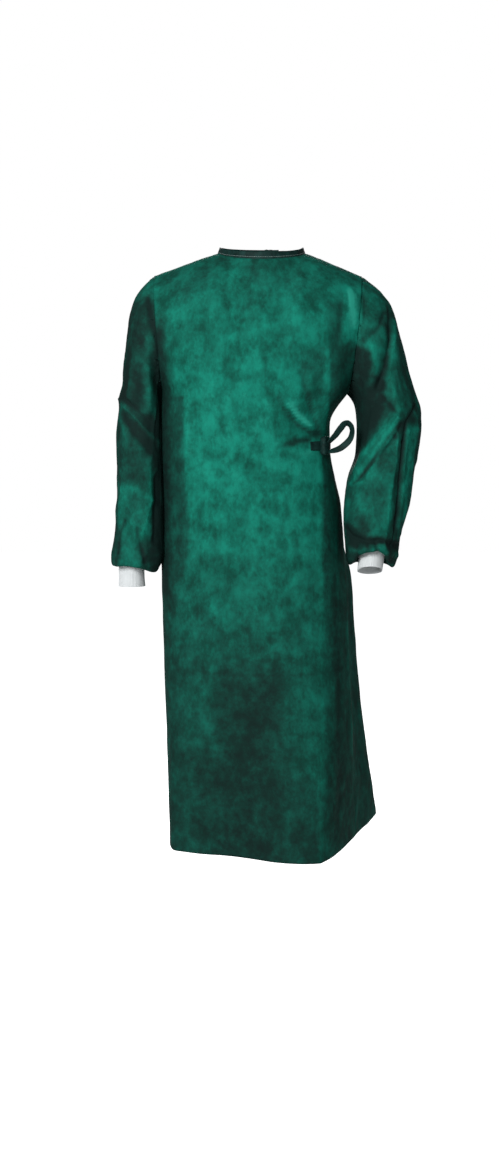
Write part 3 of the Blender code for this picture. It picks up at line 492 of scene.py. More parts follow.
def outer_skin(node, kind):
    """The outer side of a walled CAD sheet, as a bmesh of four-sided cells."""
    bm = bmesh.new()
    bm.from_mesh(frame["nodes"][node].data)
    bmesh.ops.remove_doubles(bm, verts=bm.verts[:], dist=MERGE_DISTANCE)
    reach = SOLID_WALL[kind] * RIM_WIDTH
    rim = [face for face in bm.faces if min(edge.calc_length() for edge in face.edges) < reach]
    bmesh.ops.delete(bm, geom=rim, context="FACES")
    sides = []
    waiting = set(bm.faces)
    while waiting:
        side = {waiting.pop()}
        edge_of = list(side)
        while edge_of:
            face = edge_of.pop()
            near = {other for edge in face.edges for other in edge.link_faces} - side
            side |= near
            edge_of += near
        waiting -= side
        sides.append(side)
    outer = max(sides, key=lambda side: sum(face.calc_area() for face in side))
    bmesh.ops.delete(bm, geom=[face for face in bm.faces if face not in outer], context="FACES")
    bmesh.ops.join_triangles(bm, faces=bm.faces[:], angle_face_threshold=math.pi,
                             angle_shape_threshold=math.pi)
    return bm


def split_tall_cells(bm):
    """Halves the rows whose cells are tall."""
    tall = []
    for edge in bm.edges:
        first, second = (vert.co for vert in edge.verts)
        if abs(first.z - second.z) > max(TALL_CELL, STEEP * edge.calc_length()):
            tall.append(edge)
    bmesh.ops.subdivide_edges(bm, edges=tall, cuts=1, use_grid_fill=True)


def new_object(name, data):
    made = bpy.data.objects.new(name, data)
    bpy.context.scene.collection.objects.link(made)
    return made


def object_of(name, bm, finish):
    """An object with the mesh of a bmesh, which is freed, and its material."""
    mesh = bpy.data.meshes.new(name)
    bm.to_mesh(mesh)
    bm.free()
    mesh.materials.append(finish)
    return new_object(name, mesh)


def new_piece(name, bm, node, finish):
    """An object of a bmesh, which stands for its CAD node and rides with it."""
    piece = object_of(name, bm, finish)
    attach(piece, "root")
    if node:
        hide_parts(node)
    return piece


def bake(piece):
    """Gives a piece the mesh that its modifiers make, and drops them."""
    graph = bpy.context.evaluated_depsgraph_get()
    made = bpy.data.meshes.new_from_object(piece.evaluated_get(graph))
    piece.modifiers.clear()
    bare = piece.data
    piece.data = made
    bpy.data.meshes.remove(bare)
    made.name = piece.name
    made.shade_smooth()


def refine(piece, levels):
    rounding = piece.modifiers.new("Rounding", "SUBSURF")
    rounding.levels = levels
    rounding.render_levels = levels
    rounding.boundary_smooth = "PRESERVE_CORNERS"
    bake(piece)


def points_of(piece):
    """Places and outward directions of a piece's points."""
    mesh = piece.data
    places = np.empty(len(mesh.vertices) * 3)
    mesh.vertices.foreach_get("co", places)
    out = np.empty(len(mesh.vertices) * 3)
    mesh.vertices.foreach_get("normal", out)
    return places.reshape(-1, 3), out.reshape(-1, 3)


def move_points(piece, places):
    piece.data.vertices.foreach_set("co", places.ravel())
    piece.data.update()


def crease_lift(places, creases):
    """How far the creases lift each point out of the cloth."""
    plane = places[:, (0, 2)] / MM
    total = np.zeros(len(plane))
    for crease in creases:
        line = np.array(crease.points)
        spans = len(line) - 1
        nearest = np.full(len(plane), np.inf)
        depth = np.zeros(len(plane))
        for i in range(spans):
            run = line[i + 1] - line[i]
            share = np.clip((plane - line[i]) @ run / (run @ run), 0.0, 1.0)
            distance = np.linalg.norm(plane - line[i] - share[:, None] * run, axis=1)
            closer = distance < nearest
            nearest[closer] = distance[closer]
            along = (i + share[closer]) / spans
            depth[closer] = crease.depth_1 + (crease.depth_2 - crease.depth_1) * along
        soft = np.exp(-((nearest / crease.width) ** 2))
        pressed = np.exp(-PRESSED_FALL * nearest / crease.width)
        total += depth * (soft + (pressed - soft) * crease.sharp)
    return total * MM


def facing(out, sign, turn=0.05, spread=0.4):
    """1 where the cloth faces the front (sign -1) or the back (1), and 0 where it faces away."""
    return smooth((out[:, 1] * sign - turn) / spread)


def cover(plane, patch):
    """How far a patch covers each point of the plane, from 0 to 1."""
    corners = np.array(patch.points)
    nearest = np.full(len(plane), np.inf)
    inside = np.zeros(len(plane), dtype=bool)
    for start, end in zip(corners, np.roll(corners, -1, axis=0)):
        run = end - start
        share = np.clip((plane - start) @ run / (run @ run), 0.0, 1.0)
        nearest = np.minimum(nearest, np.linalg.norm(plane - start - share[:, None] * run, axis=1))
        spans = (start[1] > plane[:, 1]) != (end[1] > plane[:, 1])
        rise = run[1] if run[1] else 1.0
        inside ^= spans & (plane[:, 0] < start[0] + (plane[:, 1] - start[1]) * run[0] / rise)
    return smooth(np.where(inside, nearest, -nearest) / patch.rim * 0.5 + 0.5)


def shade_of(places, out, ground, front, back, lift):
    """How dark the cloth's painted shade is at each point, with a painted highlight on raised edges and
    painted shade in hollows.
    """
    heights, shades = np.array(ground)[::-1].T
    shade = np.interp(places[:, 2], heights, shades)
    plane = places[:, (0, 2)] / MM
    for sign, patches in ((-1, front), (1, back)):
        seen = facing(out, sign, turn=-0.18, spread=0.45)
        for patch in patches:
            shade += (patch.shade - shade) * cover(plane, patch) * seen
    return shade - np.clip((lift - lift.mean()) * SHADE_BY_LIFT, *SHADE_BY_LIFT_RANGE)


def store_shade(piece, shade):
    layer = piece.data.attributes.new("Shade", "FLOAT", "POINT")
    layer.data.foreach_set("value", shade.astype(np.float32))


def in_noise(places, size, tall, seed):
    """Each point's place in the noise, whose cells have a size and are stretched upward."""
    start = Vector((seed, seed * 0.7, seed * 0.3))
    for x, y, z in places.tolist():
        yield Vector((x / size, y / size, z / size / tall)) + start


def ridges(places, size, tall, seed):
    """Fine bent ridges of crumpled cloth from 0 to 1, round hollows about one size wide."""
    lifts = []
    for place in in_noise(places, size, tall, seed):
        bend = Vector([noise.noise(place * BEND_SCALE + shift) for shift in BEND_SHIFTS])
        near, second = noise.voronoi(place + bend * BEND_REACH)[0][:2]
        lifts.append(max(0.0, 1.0 - (second - near) * RIDGE_SHARPNESS))
    return np.array(lifts)


def swells(places, size, tall, seed):
    """Soft rises and hollows from -1 to 1."""
    return np.array([noise.noise(place) for place in in_noise(places, size, tall, seed)])


def open_edges(piece):
    """The points on a sheet's sewn and turned edges, without its level lower end, and how it ends there."""
    bm = bmesh.new()
    bm.from_mesh(piece.data)
    lowest = min(vert.co.z for vert in bm.verts)
    points, ways = [], []
    for vert in bm.verts:
        inner = [edge.other_vert(vert).co for edge in vert.link_edges if not edge.is_boundary]
        rims = [edge.verts[0].co - edge.verts[1].co for edge in vert.link_edges if edge.is_boundary]
        steep = any(abs(rim.z) > STEEP * rim.length for rim in rims)
        if vert.is_boundary and inner and (steep or vert.co.z > lowest + LOWER_END):
            points.append(vert.co.copy())
            ways.append((vert.co - sum(inner, Vector()) / len(inner)).normalized())
    bm.free()
    return points, ways


def panel_edges():
    """The points on the open edges of the body's panels."""
    panels = [piece for piece in bpy.data.objects if piece.name in PANELS]
    return [point for panel in panels for point in open_edges(panel)[0]]


def tree_of(points):
    tree = KDTree(len(points))
    for i, point in enumerate(points):
        tree.insert(point, i)
    tree.balance()
    return tree


def beside_seam(piece, places):
    """How near each point is to an open edge of its own sheet."""
    tree = tree_of(open_edges(piece)[0])
    return np.array([tree.find(place)[2] for place in places.tolist()])


def sew_to(piece, sewn, reach):
    """Draws a sheet's edge just under the edges sewn before it, and the cloth beside it along."""
    points, ways = open_edges(piece)
    if sewn:
        other = tree_of(sewn)
        pull = []
        for point, way in zip(points, ways):
            target, _, gap = other.find(point)
            pull.append(np.array(target - point + way * TUCK) if gap < SEAM_REACH else np.zeros(3))
        own = tree_of(points)
        places, _ = points_of(piece)
        for i, place in enumerate(places.tolist()):
            _, nearest, distance = own.find(place)
            places[i] += pull[nearest] * math.exp(-((distance / reach) ** 2))
        move_points(piece, places)
    sewn += points


def corner_points(mesh):
    """The point that each corner of a mesh's faces stands on."""
    corner = np.empty(len(mesh.loops), dtype=np.int32)
    mesh.loops.foreach_get("vertex_index", corner)
    return corner


def store_map(mesh, flat):
    mesh.uv_layers.new(name="UVMap").data.foreach_set("uv", flat.ravel())


def lay_out(piece, middle, radius, cut_at_back):
    """Gives a piece its own flat map: round the gown or the arm, and up, in metres."""
    places, _ = points_of(piece)
    centre = np.array(middle)
    middle_x = np.interp(-places[:, 2], -centre[:, 2], centre[:, 0])
    middle_y = np.interp(-places[:, 2], -centre[:, 2], centre[:, 1])
    side = -1.0 if cut_at_back else 1.0
    turn = np.arctan2(places[:, 0] - middle_x, side * (places[:, 1] - middle_y))
    corner = corner_points(piece.data)
    turns = turn[corner].reshape(-1, 4)
    wraps = (turns.max(axis=1) - turns.min(axis=1) > math.pi)[:, None] & (turns < 0)
    turns = np.where(wraps, turns + 2 * math.pi, turns).ravel()
    store_map(piece.data, np.stack((turns * radius, places[corner, 2]), axis=1))


def give_wall(piece, wall):
    """A wall of real thickness behind the outer side."""
    solid = piece.modifiers.new("Wall", "SOLIDIFY")
    solid.thickness = wall
    solid.offset = -1.0
    solid.use_even_offset = False


def add(tree, kind, inputs=(), **settings):
    """A node with its settings, and its inputs given as numbers or as other nodes' outputs."""
    made = tree.nodes.new(kind)
    for name, value in settings.items():
        setattr(made, name, value)
    for name, value in dict(inputs).items():
        if isinstance(value, bpy.types.NodeSocket):
            tree.links.new(value, made.inputs[name])
        else:
            made.inputs[name].default_value = value
    return made


def maths(tree, operation, first, second=0.0):
    return add(tree, "ShaderNodeMath", {0: first, 1: second}, operation=operation).outputs[0]


def ramp(tree, value, low, high):
    """0 below low, 1 above high and smooth between."""
    inputs = {"Value": value, "From Min": low, "From Max": high}
    return add(tree, "ShaderNodeMapRange", inputs, interpolation_type="SMOOTHSTEP").outputs["Result"]


def blend(tree, share, first, second):
    """One colour over another by a share."""
    mixed = add(tree, "ShaderNodeMix", {0: share, 6: first, 7: second}, data_type="RGBA")
    return mixed.outputs[2]


def opaque(colour, share=1.0):
    """A share of a colour, as a node takes it."""
    return (*[value * share for value in colour], 1.0)


def mix(tree, first, first_share, second, second_share):
    """Two values added by their shares."""
    return maths(tree, "ADD", maths(tree, "MULTIPLY", first, first_share),
                 maths(tree, "MULTIPLY", second, second_share))


def stretched(tree, vector, scale):
    return add(tree, "ShaderNodeMapping", {"Vector": vector, "Scale": scale}).outputs["Vector"]


def clouds(tree, vector, scale, detail, roughness=0.6):
    inputs = {"Vector": vector, "Scale": scale, "Detail": detail, "Roughness": roughness}
    return add(tree, "ShaderNodeTexNoise", inputs).outputs["Fac"]


def new_group(name, inputs, outputs):
    """A shader node group with named value sockets."""
    group = bpy.data.node_groups.new(name, "ShaderNodeTree")
    for label in inputs:
        group.interface.new_socket(label, in_out="INPUT", socket_type="NodeSocketFloat")
    for label in outputs:
        group.interface.new_socket(label, in_out="OUTPUT", socket_type="NodeSocketFloat")
    return group, group.nodes.new("NodeGroupInput"), group.nodes.new("NodeGroupOutput")


def nonwoven_group():
    """Laid fibre of nonwoven cloth: its clouds, its streaks and the small points pressed in it."""
    found = bpy.data.node_groups.get("Laid fibre")
    if found:
        return found
    group, given, result = new_group("Laid fibre", ("Cloud Size", "Streak Size", "Bond Pitch"),
                                     ("Tone", "Streak", "Height"))
    coordinates = add(group, "ShaderNodeTexCoord")
    place = coordinates.outputs["Object"]
    cloud_scale = maths(group, "DIVIDE", 1.0, given.outputs["Cloud Size"])
    streak_scale = maths(group, "DIVIDE", 1.0, given.outputs["Streak Size"])
    cloud = clouds(group, place, cloud_scale, detail=2.0, roughness=0.5)
    laid = stretched(group, place, (1.0, 1.0, 0.62))
    streak = clouds(group, laid, streak_scale, detail=4.0, roughness=0.62)
    fine = clouds(group, laid, maths(group, "MULTIPLY", streak_scale, 3.1), detail=5.0, roughness=0.7)
    mixed = maths(group, "ADD", mix(group, cloud, 0.42, streak, 0.36), maths(group, "MULTIPLY", fine, 0.22))
    group.links.new(ramp(group, mixed, 0.33, 0.67), result.inputs["Tone"])
    group.links.new(streak, result.inputs["Streak"])
    threads = stretched(group, place, (1.0, 1.0, 0.25))
    fibre = clouds(group, threads, scale=800.0, detail=3.0, roughness=0.7)
    pitch = maths(group, "DIVIDE", 1.0, given.outputs["Bond Pitch"])
    turned_map = {"Vector": coordinates.outputs["UV"], "Rotation": (0, 0, 0.785)}
    flat = add(group, "ShaderNodeMapping", turned_map).outputs["Vector"]
    bonds = add(group, "ShaderNodeTexVoronoi", {"Vector": flat, "Scale": pitch, "Randomness": 0.0},
                voronoi_dimensions="2D").outputs["Distance"]
    height = mix(group, fibre, 0.5, ramp(group, bonds, 0.15, 0.36), 0.5)
    group.links.new(height, result.inputs["Height"])
    return group


def finish_of(name, paint):
    """A material painted by its own function, or the one made before."""
    finish = bpy.data.materials.get(name)
    if not finish:
        finish = bpy.data.materials.new(name)
        finish.use_nodes = True
        paint(finish.node_tree, finish.node_tree.nodes["Principled BSDF"])
    return finish


def set_up(tree, shader, colour, rough, mask, gain):
    """Gives a shader its colour, and a roughness that a mask raises."""
    tree.links.new(colour, shader.inputs["Base Color"])
    rough = maths(tree, "ADD", rough, maths(tree, "MULTIPLY", mask, gain))
    tree.links.new(rough, shader.inputs["Roughness"])


def raise_up(tree, shader, height, strength, distance):
    """Gives a shader fine relief."""
    inputs = {"Strength": strength, "Distance": distance, "Height": height}
    relief = add(tree, "ShaderNodeBump", inputs)
    tree.links.new(relief.outputs["Normal"], shader.inputs["Normal"])


def laid_fibre(tree, cloud, streak, bond):
    inputs = {"Cloud Size": cloud, "Streak Size": streak, "Bond Pitch": bond}
    made = add(tree, "ShaderNodeGroup", (), node_tree=nonwoven_group())
    for label, value in inputs.items():
        made.inputs[label].default_value = value
    return made.outputs


def shaded(tree, place, tone, painted_shade_green, pale):
    """The cloth's colour with the painted shade and painted highlight stored on the sheet, with ragged
    rims.
    """
    stored = add(tree, "ShaderNodeAttribute", attribute_name="Shade").outputs["Fac"]
    ragged = clouds(tree, place, scale=60.0, detail=6.0, roughness=0.68)
    sway = maths(tree, "MULTIPLY", maths(tree, "SUBTRACT", ragged, 0.5), 0.66)
    depth = maths(tree, "ADD", stored, sway)
    # painted highlight: the pale green where the stored shade is light
    pressed = blend(tree, ramp(tree, depth, 0.05, -0.45), tone, opaque(pale))
    # painted shade: the deep green where the stored shade is dark
    return blend(tree, ramp(tree, depth, -0.10, 1.0), pressed, opaque(painted_shade_green))


def cloth_looks(tree, shader):
    cloth = bpy.context.scene.gown_cloth
    fibre = laid_fibre(tree, cloth.cloud, cloth.streak, cloth.bond)
    place = add(tree, "ShaderNodeTexCoord").outputs["Object"]
    tone = blend(tree, fibre["Tone"], opaque(cloth.dark), opaque(cloth.light))
    colour = shaded(tree, place, tone, cloth.painted_shade_green, cloth.pale)
    set_up(tree, shader, colour, 0.66, fibre["Streak"], 0.24)
    raise_up(tree, shader, fibre["Height"], strength=0.45, distance=0.0004)
    shader.inputs["Specular IOR Level"].default_value = 0.05


def tape_looks(tree, shader):
    tape = bpy.context.scene.gown_trim.tape
    fibre = laid_fibre(tree, cloud=0.012, streak=0.004, bond=0.0018)
    colour = blend(tree, fibre["Tone"], opaque(tape, 0.55), opaque(tape, 1.7))
    set_up(tree, shader, colour, 0.52, fibre["Streak"], 0.2)
    raise_up(tree, shader, fibre["Height"], strength=0.5, distance=0.0004)
    shader.inputs["Specular IOR Level"].default_value = 0.12


def knit_looks(tree, shader):
    knit = bpy.context.scene.gown_trim.knit
    coordinates = add(tree, "ShaderNodeTexCoord").outputs
    inputs = {"Vector": coordinates["UV"], "Scale": 210.0, "Distortion": 1.4, "Detail": 2.0,
              "Detail Scale": 3.0}
    rows = add(tree, "ShaderNodeTexWave", inputs, wave_type="BANDS", bands_direction="Y").outputs["Fac"]
    fuzz = clouds(tree, coordinates["Object"], scale=1400.0, detail=3.0, roughness=0.7)
    wear = clouds(tree, coordinates["Object"], scale=60.0, detail=4.0)
    colour = blend(tree, mix(tree, wear, 0.7, rows, 0.3), opaque(knit, 0.80), opaque(knit))
    set_up(tree, shader, colour, 0.72, fuzz, 0.2)
    raise_up(tree, shader, mix(tree, rows, 0.6, fuzz, 0.4), strength=0.6, distance=0.0005)
    shader.inputs["Sheen Weight"].default_value = 0.2


def thread_looks(tree, shader):
    thread = bpy.context.scene.gown_trim.thread
    place = add(tree, "ShaderNodeTexCoord").outputs["Object"]
    twist = clouds(tree, place, scale=900.0, detail=3.0)
    colour = blend(tree, twist, opaque(thread, 0.6), opaque(thread))
    set_up(tree, shader, colour, 0.5, twist, 0.2)


def floor_looks(tree, shader):
    place = add(tree, "ShaderNodeTexCoord").outputs["Object"]
    marks = clouds(tree, place, scale=1.2, detail=3.0)
    colour = blend(tree, marks, (0.86, 0.86, 0.86, 1.0), (0.90, 0.90, 0.90, 1.0))
    tree.links.new(colour, shader.inputs["Base Color"])
    shader.inputs["Roughness"].default_value = 0.9
    seen = add(tree, "ShaderNodeLightPath").outputs["Is Camera Ray"]
    glow = blend(tree, seen, (0.0, 0.0, 0.0, 1.0), (1.0, 1.0, 1.0, 1.0))
    tree.links.new(glow, shader.inputs["Emission Color"])
    shader.inputs["Emission Strength"].default_value = 0.85


def cloth_relief(places, out, front, back, share, grain, crumple):
    """How far creases, crumple and swells lift each point."""
    lift = crease_lift(places, front) * facing(out, -1) * share
    lift += crease_lift(places, back) * facing(out, 1) * share
    lift += ridges(places, *grain.ridge) * crumple
    for size, tall, seed, height in grain.swells:
        lift += swells(places, size, tall, seed) * height
    return lift


def front_of(places, middle):
    """1 on the front of a tube and 0 on its back."""
    return smooth((middle[1] - places[:, 1] + TUBE_FRONT) / TUBE_BLEND)


def lean(name, places, out):
    """Lets a sleeve rest against the body and its puffed end droop beside the cuff."""
    moved = places.copy()
    height = places[:, 2]
    if name == "sleeve_right":
        inner = smooth((out[:, 0] + SIDE_TURN) / INNER_SPREAD) * below(height, REST_TOP, REST_FALL)
        moved[:, 0] += REST_PUSH * (inner * smooth((height - REST_END) / REST_RISE))
    low = places[height < height.min() + END_BAND]
    middle = low.mean(axis=0)
    span = np.ptp(low[:, 0]) / 2
    across = np.clip(np.abs(places[:, 0] - middle[0]) / span, 0.0, 1.0)
    end = below(height, height.min() + END_TOP, END_FALL)
    shape = END_SHAPES[name]
    arch = front_of(places, middle) * (1.0 - smooth((across - ARCH_HALF) / ARCH_BLEND))
    beside = smooth((across - DROOP_START) / DROOP_BLEND)
    moved[:, 2] += end * (shape.rise * arch - shape.droop * beside)
    if name == "sleeve_right":
        outer = smooth((-out[:, 0] + SIDE_TURN) / OUTER_SPREAD)
        elbow = height - ELBOW_HEIGHT
        point = ELBOW_POINT * np.exp(-np.abs(elbow) / ELBOW_POINT_REACH)
        hollow = ELBOW_HOLLOW * np.exp(-(((elbow - ELBOW_HOLLOW_ABOVE) / ELBOW_HOLLOW_REACH) ** 2))
        moved[:, 0] -= outer * (point - hollow)
    return moved


def press_skirt(places):
    """Carries the left flank of the skirt outward, presses it flat low down and squares the right edge."""
    moved = places.copy()
    height = places[:, 2]
    side = smooth((moved[:, 0] - FLARE_EDGE) / FLARE_BLEND)
    moved[:, 0] += FLARE * side * below(height, FLARE_TOP, FLARE_FALL)
    outward = np.array((FLANK_END[1] - FLANK_START[1], FLANK_START[0] - FLANK_END[0]))
    outward /= np.linalg.norm(outward)
    beyond = np.maximum((moved[:, :2] - FLANK_START) @ outward, 0.0)
    low = below(height, FLANK_TOP, FLANK_FALL)
    moved[:, :2] -= outward * (FLANK_PRESS * beyond * low)[:, None]
    near = np.exp(-(np.linalg.norm(moved[:, :2] - SQUARE_EDGE, axis=1) / SQUARE_SPREAD) ** 2)
    push = SQUARE_REACH * near * below(height, SQUARE_TOP, SQUARE_FALL)
    moved[:, :2] += np.array(SQUARE_WAY) * push[:, None]
    return moved


def sew_edges(piece, places, lift, pucker, reach):
    """Turns the cloth in beside its seams and puckers it there."""
    near = beside_seam(piece, places)
    lift = lift * smooth(near / SEAM_FLAT)
    lift -= TURN_IN * np.exp(-((near / SEAM_ROLL) ** 2))
    return lift + swells(places, *PUCKER) * pucker * np.exp(-near / reach) * smooth(near / PUCKER_START)


class GOWN_OT_body_panels(Operator):
    """Makes the front and the two lapped backs."""

    bl_idname = "gown.body_panels"
    bl_label = "Front and backs"

    def execute(self, context):
        cloth = context.scene.gown_cloth
        finish = finish_of("gown_cloth_looks", cloth_looks)
        sewn = []
        for name in ("front_panel", "back_right", "back_left"):
            sheet = SHEETS[name]
            bm = outer_skin(name, "cloth")
            split_tall_cells(bm)
            piece = new_piece(name + "_cloth", bm, name, finish)
            refine(piece, sheet.levels)
            sew_to(piece, sewn, reach=0.012)
            places, out = points_of(piece)
            places = press_skirt(places)
            relief = cloth_relief(places, out, BODY_CREASES, BACK_CREASES, cloth.crease, BODY_GRAIN,
                                  cloth.crumple_body)
            lift = sew_edges(piece, places, relief, pucker=0.0010, reach=0.010)
            store_shade(piece, shade_of(places, out, BODY_GROUND, FRONT_PATCHES, BACK_PATCHES, relief))
            move_points(piece, places + out * lift[:, None])
            lay_out(piece, BODY_MIDDLE, MAP_RADIUS["body"], name == "front_panel")
            give_wall(piece, cloth.wall)
        return {"FINISHED"}


class GOWN_OT_sleeves(Operator):
    """Makes the two sleeves, creased at the elbow and gathered above the cuff."""

    bl_idname = "gown.sleeves"
    bl_label = "Sleeves"

    def execute(self, context):
        cloth = context.scene.gown_cloth
        finish = finish_of("gown_cloth_looks", cloth_looks)
        sewn = panel_edges()
        for name, creases, patches in (("sleeve_right", RIGHT_SLEEVE_CREASES, RIGHT_SLEEVE_PATCHES),
                                       ("sleeve_left", LEFT_SLEEVE_CREASES, LEFT_SLEEVE_PATCHES)):
            sheet = SHEETS[name]
            bm = outer_skin(name, "cloth")
            piece = new_piece(name + "_cloth", bm, name, finish)
            refine(piece, sheet.levels)
            sew_to(piece, sewn, reach=0.014)
            places, out = points_of(piece)
            places = lean(name, places, out)
            relief = cloth_relief(places, out, creases, SLEEVE_BACK_CREASES[name], cloth.crease_sleeve,
                                  SLEEVE_GRAIN, cloth.crumple_sleeve)
            lift = sew_edges(piece, places, relief, pucker=0.0016, reach=0.012)
            store_shade(piece, shade_of(places, out, SLEEVE_GROUND, patches, [], relief))
            move_points(piece, places + out * lift[:, None])
            lay_out(piece, SLEEVE_MIDDLE[name], MAP_RADIUS["sleeve"], True)
            give_wall(piece, cloth.wall)
        return {"FINISHED"}


class GOWN_OT_cuffs(Operator):
    """Makes the two ribbed knit cuffs."""

    bl_idname = "gown.cuffs"
    bl_label = "Knit cuffs"

    def execute(self, context):
        trim = context.scene.gown_trim
        finish = finish_of("cuff_knit_looks", knit_looks)
        for name in ("cuff_right", "cuff_left"):
            sheet = SHEETS[name]
            piece = new_piece(name + "_knit", outer_skin(name, "knit"), name, finish)
            refine(piece, sheet.levels)
            places, out = points_of(piece)
            middle = places.mean(axis=0)
            if name == "cuff_left":
                share = (places[:, 2] - places[:, 2].min()) / np.ptp(places[:, 2])
                places[:, 2] += CUFF_RISE * (1.0 + front_of(places, middle) * share)
            turn = np.arctan2((places[:, 0] - middle[0]) / CUFF_HALF_WIDTH,
                              (middle[1] - places[:, 1]) / CUFF_HALF_DEPTH)
            sway = swells(places, *RIB_SWAY) * RIB_SWAY_TURN
            ribs = np.abs(np.cos((turn + sway) * trim.ribs / 2)) - RIB_MIDDLE
            slack = swells(places, *CUFF_SLACK) * CUFF_SLACK_HEIGHT
            move_points(piece, places + out * (ribs * trim.rib_depth + slack - CUFF_INSET)[:, None])
            lay_out(piece, (middle, middle - (0, 0, 0.1)), MAP_RADIUS["cuff"], True)
            give_wall(piece, CUFF_WALL)
        return {"FINISHED"}


def stitch_line(points, trim, name):
    """A row of short threads along a line of points."""
    bm = bmesh.new()
    line = np.array(points)
    steps = np.linalg.norm(np.diff(line, axis=0), axis=1)
    reach = np.concatenate(([0.0], np.cumsum(steps)))
    pitch = trim.stitch + trim.stitch_gap
    for i in range(int(reach[-1] / pitch)):
        ends = []
        for place in (i * pitch, i * pitch + trim.stitch):
            ends.append(Vector([np.interp(place, reach, line[:, axis]) for axis in range(3)]))
        run = ends[1] - ends[0]
        turn = run.to_track_quat("Z", "Y").to_matrix().to_4x4()
        bmesh.ops.create_cone(bm, cap_ends=True, segments=6, radius1=trim.thread_width / 2,
                              radius2=trim.thread_width / 2, depth=run.length,
                              matrix=Matrix.Translation((ends[0] + ends[1]) / 2) @ turn)
    piece = new_piece(name, bm, None, finish_of("thread_looks", thread_looks))
    soften = piece.modifiers.new("Round ends", "BEVEL")
    soften.width = trim.thread_width * THREAD_ROUND
    soften.segments = 1
    piece.data.shade_smooth()


def lower_edge(piece):
    """A band's lower edge, in order, from one of its ends to the other."""
    bm = bmesh.new()
    bm.from_mesh(piece.data)
    lowest = [vert for vert in bm.verts if vert.is_boundary]
    corners = sorted(lowest, key=lambda vert: len(vert.link_edges))[:4]
    start = min(corners, key=lambda vert: vert.co.z)
    line, seen = [start], {start}
    while True:
        onward = [
            edge.other_vert(line[-1])
            for edge in line[-1].link_edges
            if edge.is_boundary and edge.other_vert(line[-1]) not in seen
        ]
        if not onward or (len(line) > 3 and line[-1] in corners):
            break
        nearest = min(onward, key=lambda vert: abs(vert.co.z - line[-1].co.z))
        line.append(nearest)
        seen.add(nearest)
    points = [vert.co.copy() for vert in line]
    bm.free()
    return points


def fold_over(piece):
    """Draws the binding's lower edge down over the raw neck edge of the panels."""
    neck = tree_of(panel_edges())
    edge = lower_edge(piece)
    own = tree_of(edge)
    pull = []
    for point in edge:
        target, _, gap = neck.find(point)
        outward = Vector((target.x, target.y, 0.0)).normalized()
        cover_by = outward * FOLD_OUT + Vector((0.0, 0.0, -FOLD_DOWN))
        pull.append(np.array(target - point + cover_by if gap < FOLD_REACH else cover_by * FOLD_LOOSE))
    places, _ = points_of(piece)
    for i, place in enumerate(places.tolist()):
        _, nearest, distance = own.find(place)
        places[i] += pull[nearest] * max(0.0, 1.0 - distance / FOLD_HEIGHT)
    move_points(piece, places)


class GOWN_OT_neck_binding(Operator):
    """Makes the folded strip round the neck and its row of stitches."""

    bl_idname = "gown.neck_binding"
    bl_label = "Neck binding"

    def execute(self, context):
        trim = context.scene.gown_trim
        sheet = SHEETS["neck_binding"]
        bm = outer_skin("neck_binding", "binding")
        finish = finish_of("tie_tape_looks", tape_looks)
        piece = new_piece("neck_binding_tape", bm, "neck_binding", finish)
        refine(piece, sheet.levels)
        fold_over(piece)
        places, out = points_of(piece)
        lift = swells(places, *BINDING_SWELL) * BINDING_SWELL_HEIGHT
        move_points(piece, places + out * lift[:, None])
        lay_out(piece, UPRIGHT, MAP_RADIUS["binding"], True)
        bm = bmesh.new()
        bm.from_mesh(piece.data)
        surface = BVHTree.FromBMesh(bm)
        bm.free()
        raised = []
        for point in lower_edge(piece):
            seat, normal, _, _ = surface.find_nearest(point + Vector((0, 0, STITCH_HEIGHT)))
            outward = normal if normal.xy.dot(seat.xy) > 0 else -normal
            raised.append(seat + outward * trim.thread_width * THREAD_STAND)
        give_wall(piece, BINDING_WALL)
        stitch_line(raised, trim, "neck_stitches")
        return {"FINISHED"}


def slid(places, share, onward):
    """A tape's points drawn up along it towards its far end in x, and a little past that."""
    order = np.argsort(places[:, 0])
    ends = places[:, 0].max()
    moved = places.copy()
    moved[:, 0] = ends + (places[:, 0] - ends) * share + onward
    for axis in (1, 2):
        line = np.polyfit(places[order, 0], places[order, axis], 2)
        moved[:, axis] += np.polyval(line, moved[:, 0]) - np.polyval(line, places[:, 0])
    return moved


def turned(places):
    """The loop's points, turned round its middle line so that its width shows from the front."""
    line = [Vector(stop[:3]) for stop in LOOP_TURNS]
    moved = places.copy()
    for i, place in enumerate(places.tolist()):
        near = []
        for k, (start, end) in enumerate(zip(line, line[1:])):
            run = end - start
            share = min(max((Vector(place) - start).dot(run) / run.length_squared, 0.0), 1.0)
            near.append(((Vector(place) - start - run * share).length, k, share))
        _, k, share = min(near)
        run = line[k + 1] - line[k]
        turn = LOOP_TURNS[k].turn + (LOOP_TURNS[k + 1].turn - LOOP_TURNS[k].turn) * share
        centre = line[k] + run * share
        moved[i] = centre + Matrix.Rotation(-turn, 3, run) @ (Vector(place) - centre)
    return moved


def make_tape(name, sheet, crinkle):
    """A flat tie, crinkled a little, from its CAD node."""
    trim = bpy.context.scene.gown_trim
    finish = finish_of("tie_tape_looks", tape_looks)
    piece = new_piece(name + "_tape", outer_skin(name, "tape"), name, finish)
    refine(piece, sheet.levels)
    places, out = points_of(piece)
    if name == "waist_tie_front":
        places = slid(places, TAPE_SLIDE, TAPE_ONWARD)
    if name == "waist_tie_loop":
        places = turned(places)
        move_points(piece, places)
        places, out = points_of(piece)
    lift = swells(places, *TAPE_SWELL) * crinkle - TAPE_INSET
    move_points(piece, places + out * lift[:, None])
    lay_out(piece, UPRIGHT, MAP_RADIUS["tape"], True)
    give_wall(piece, trim.tape_wall)


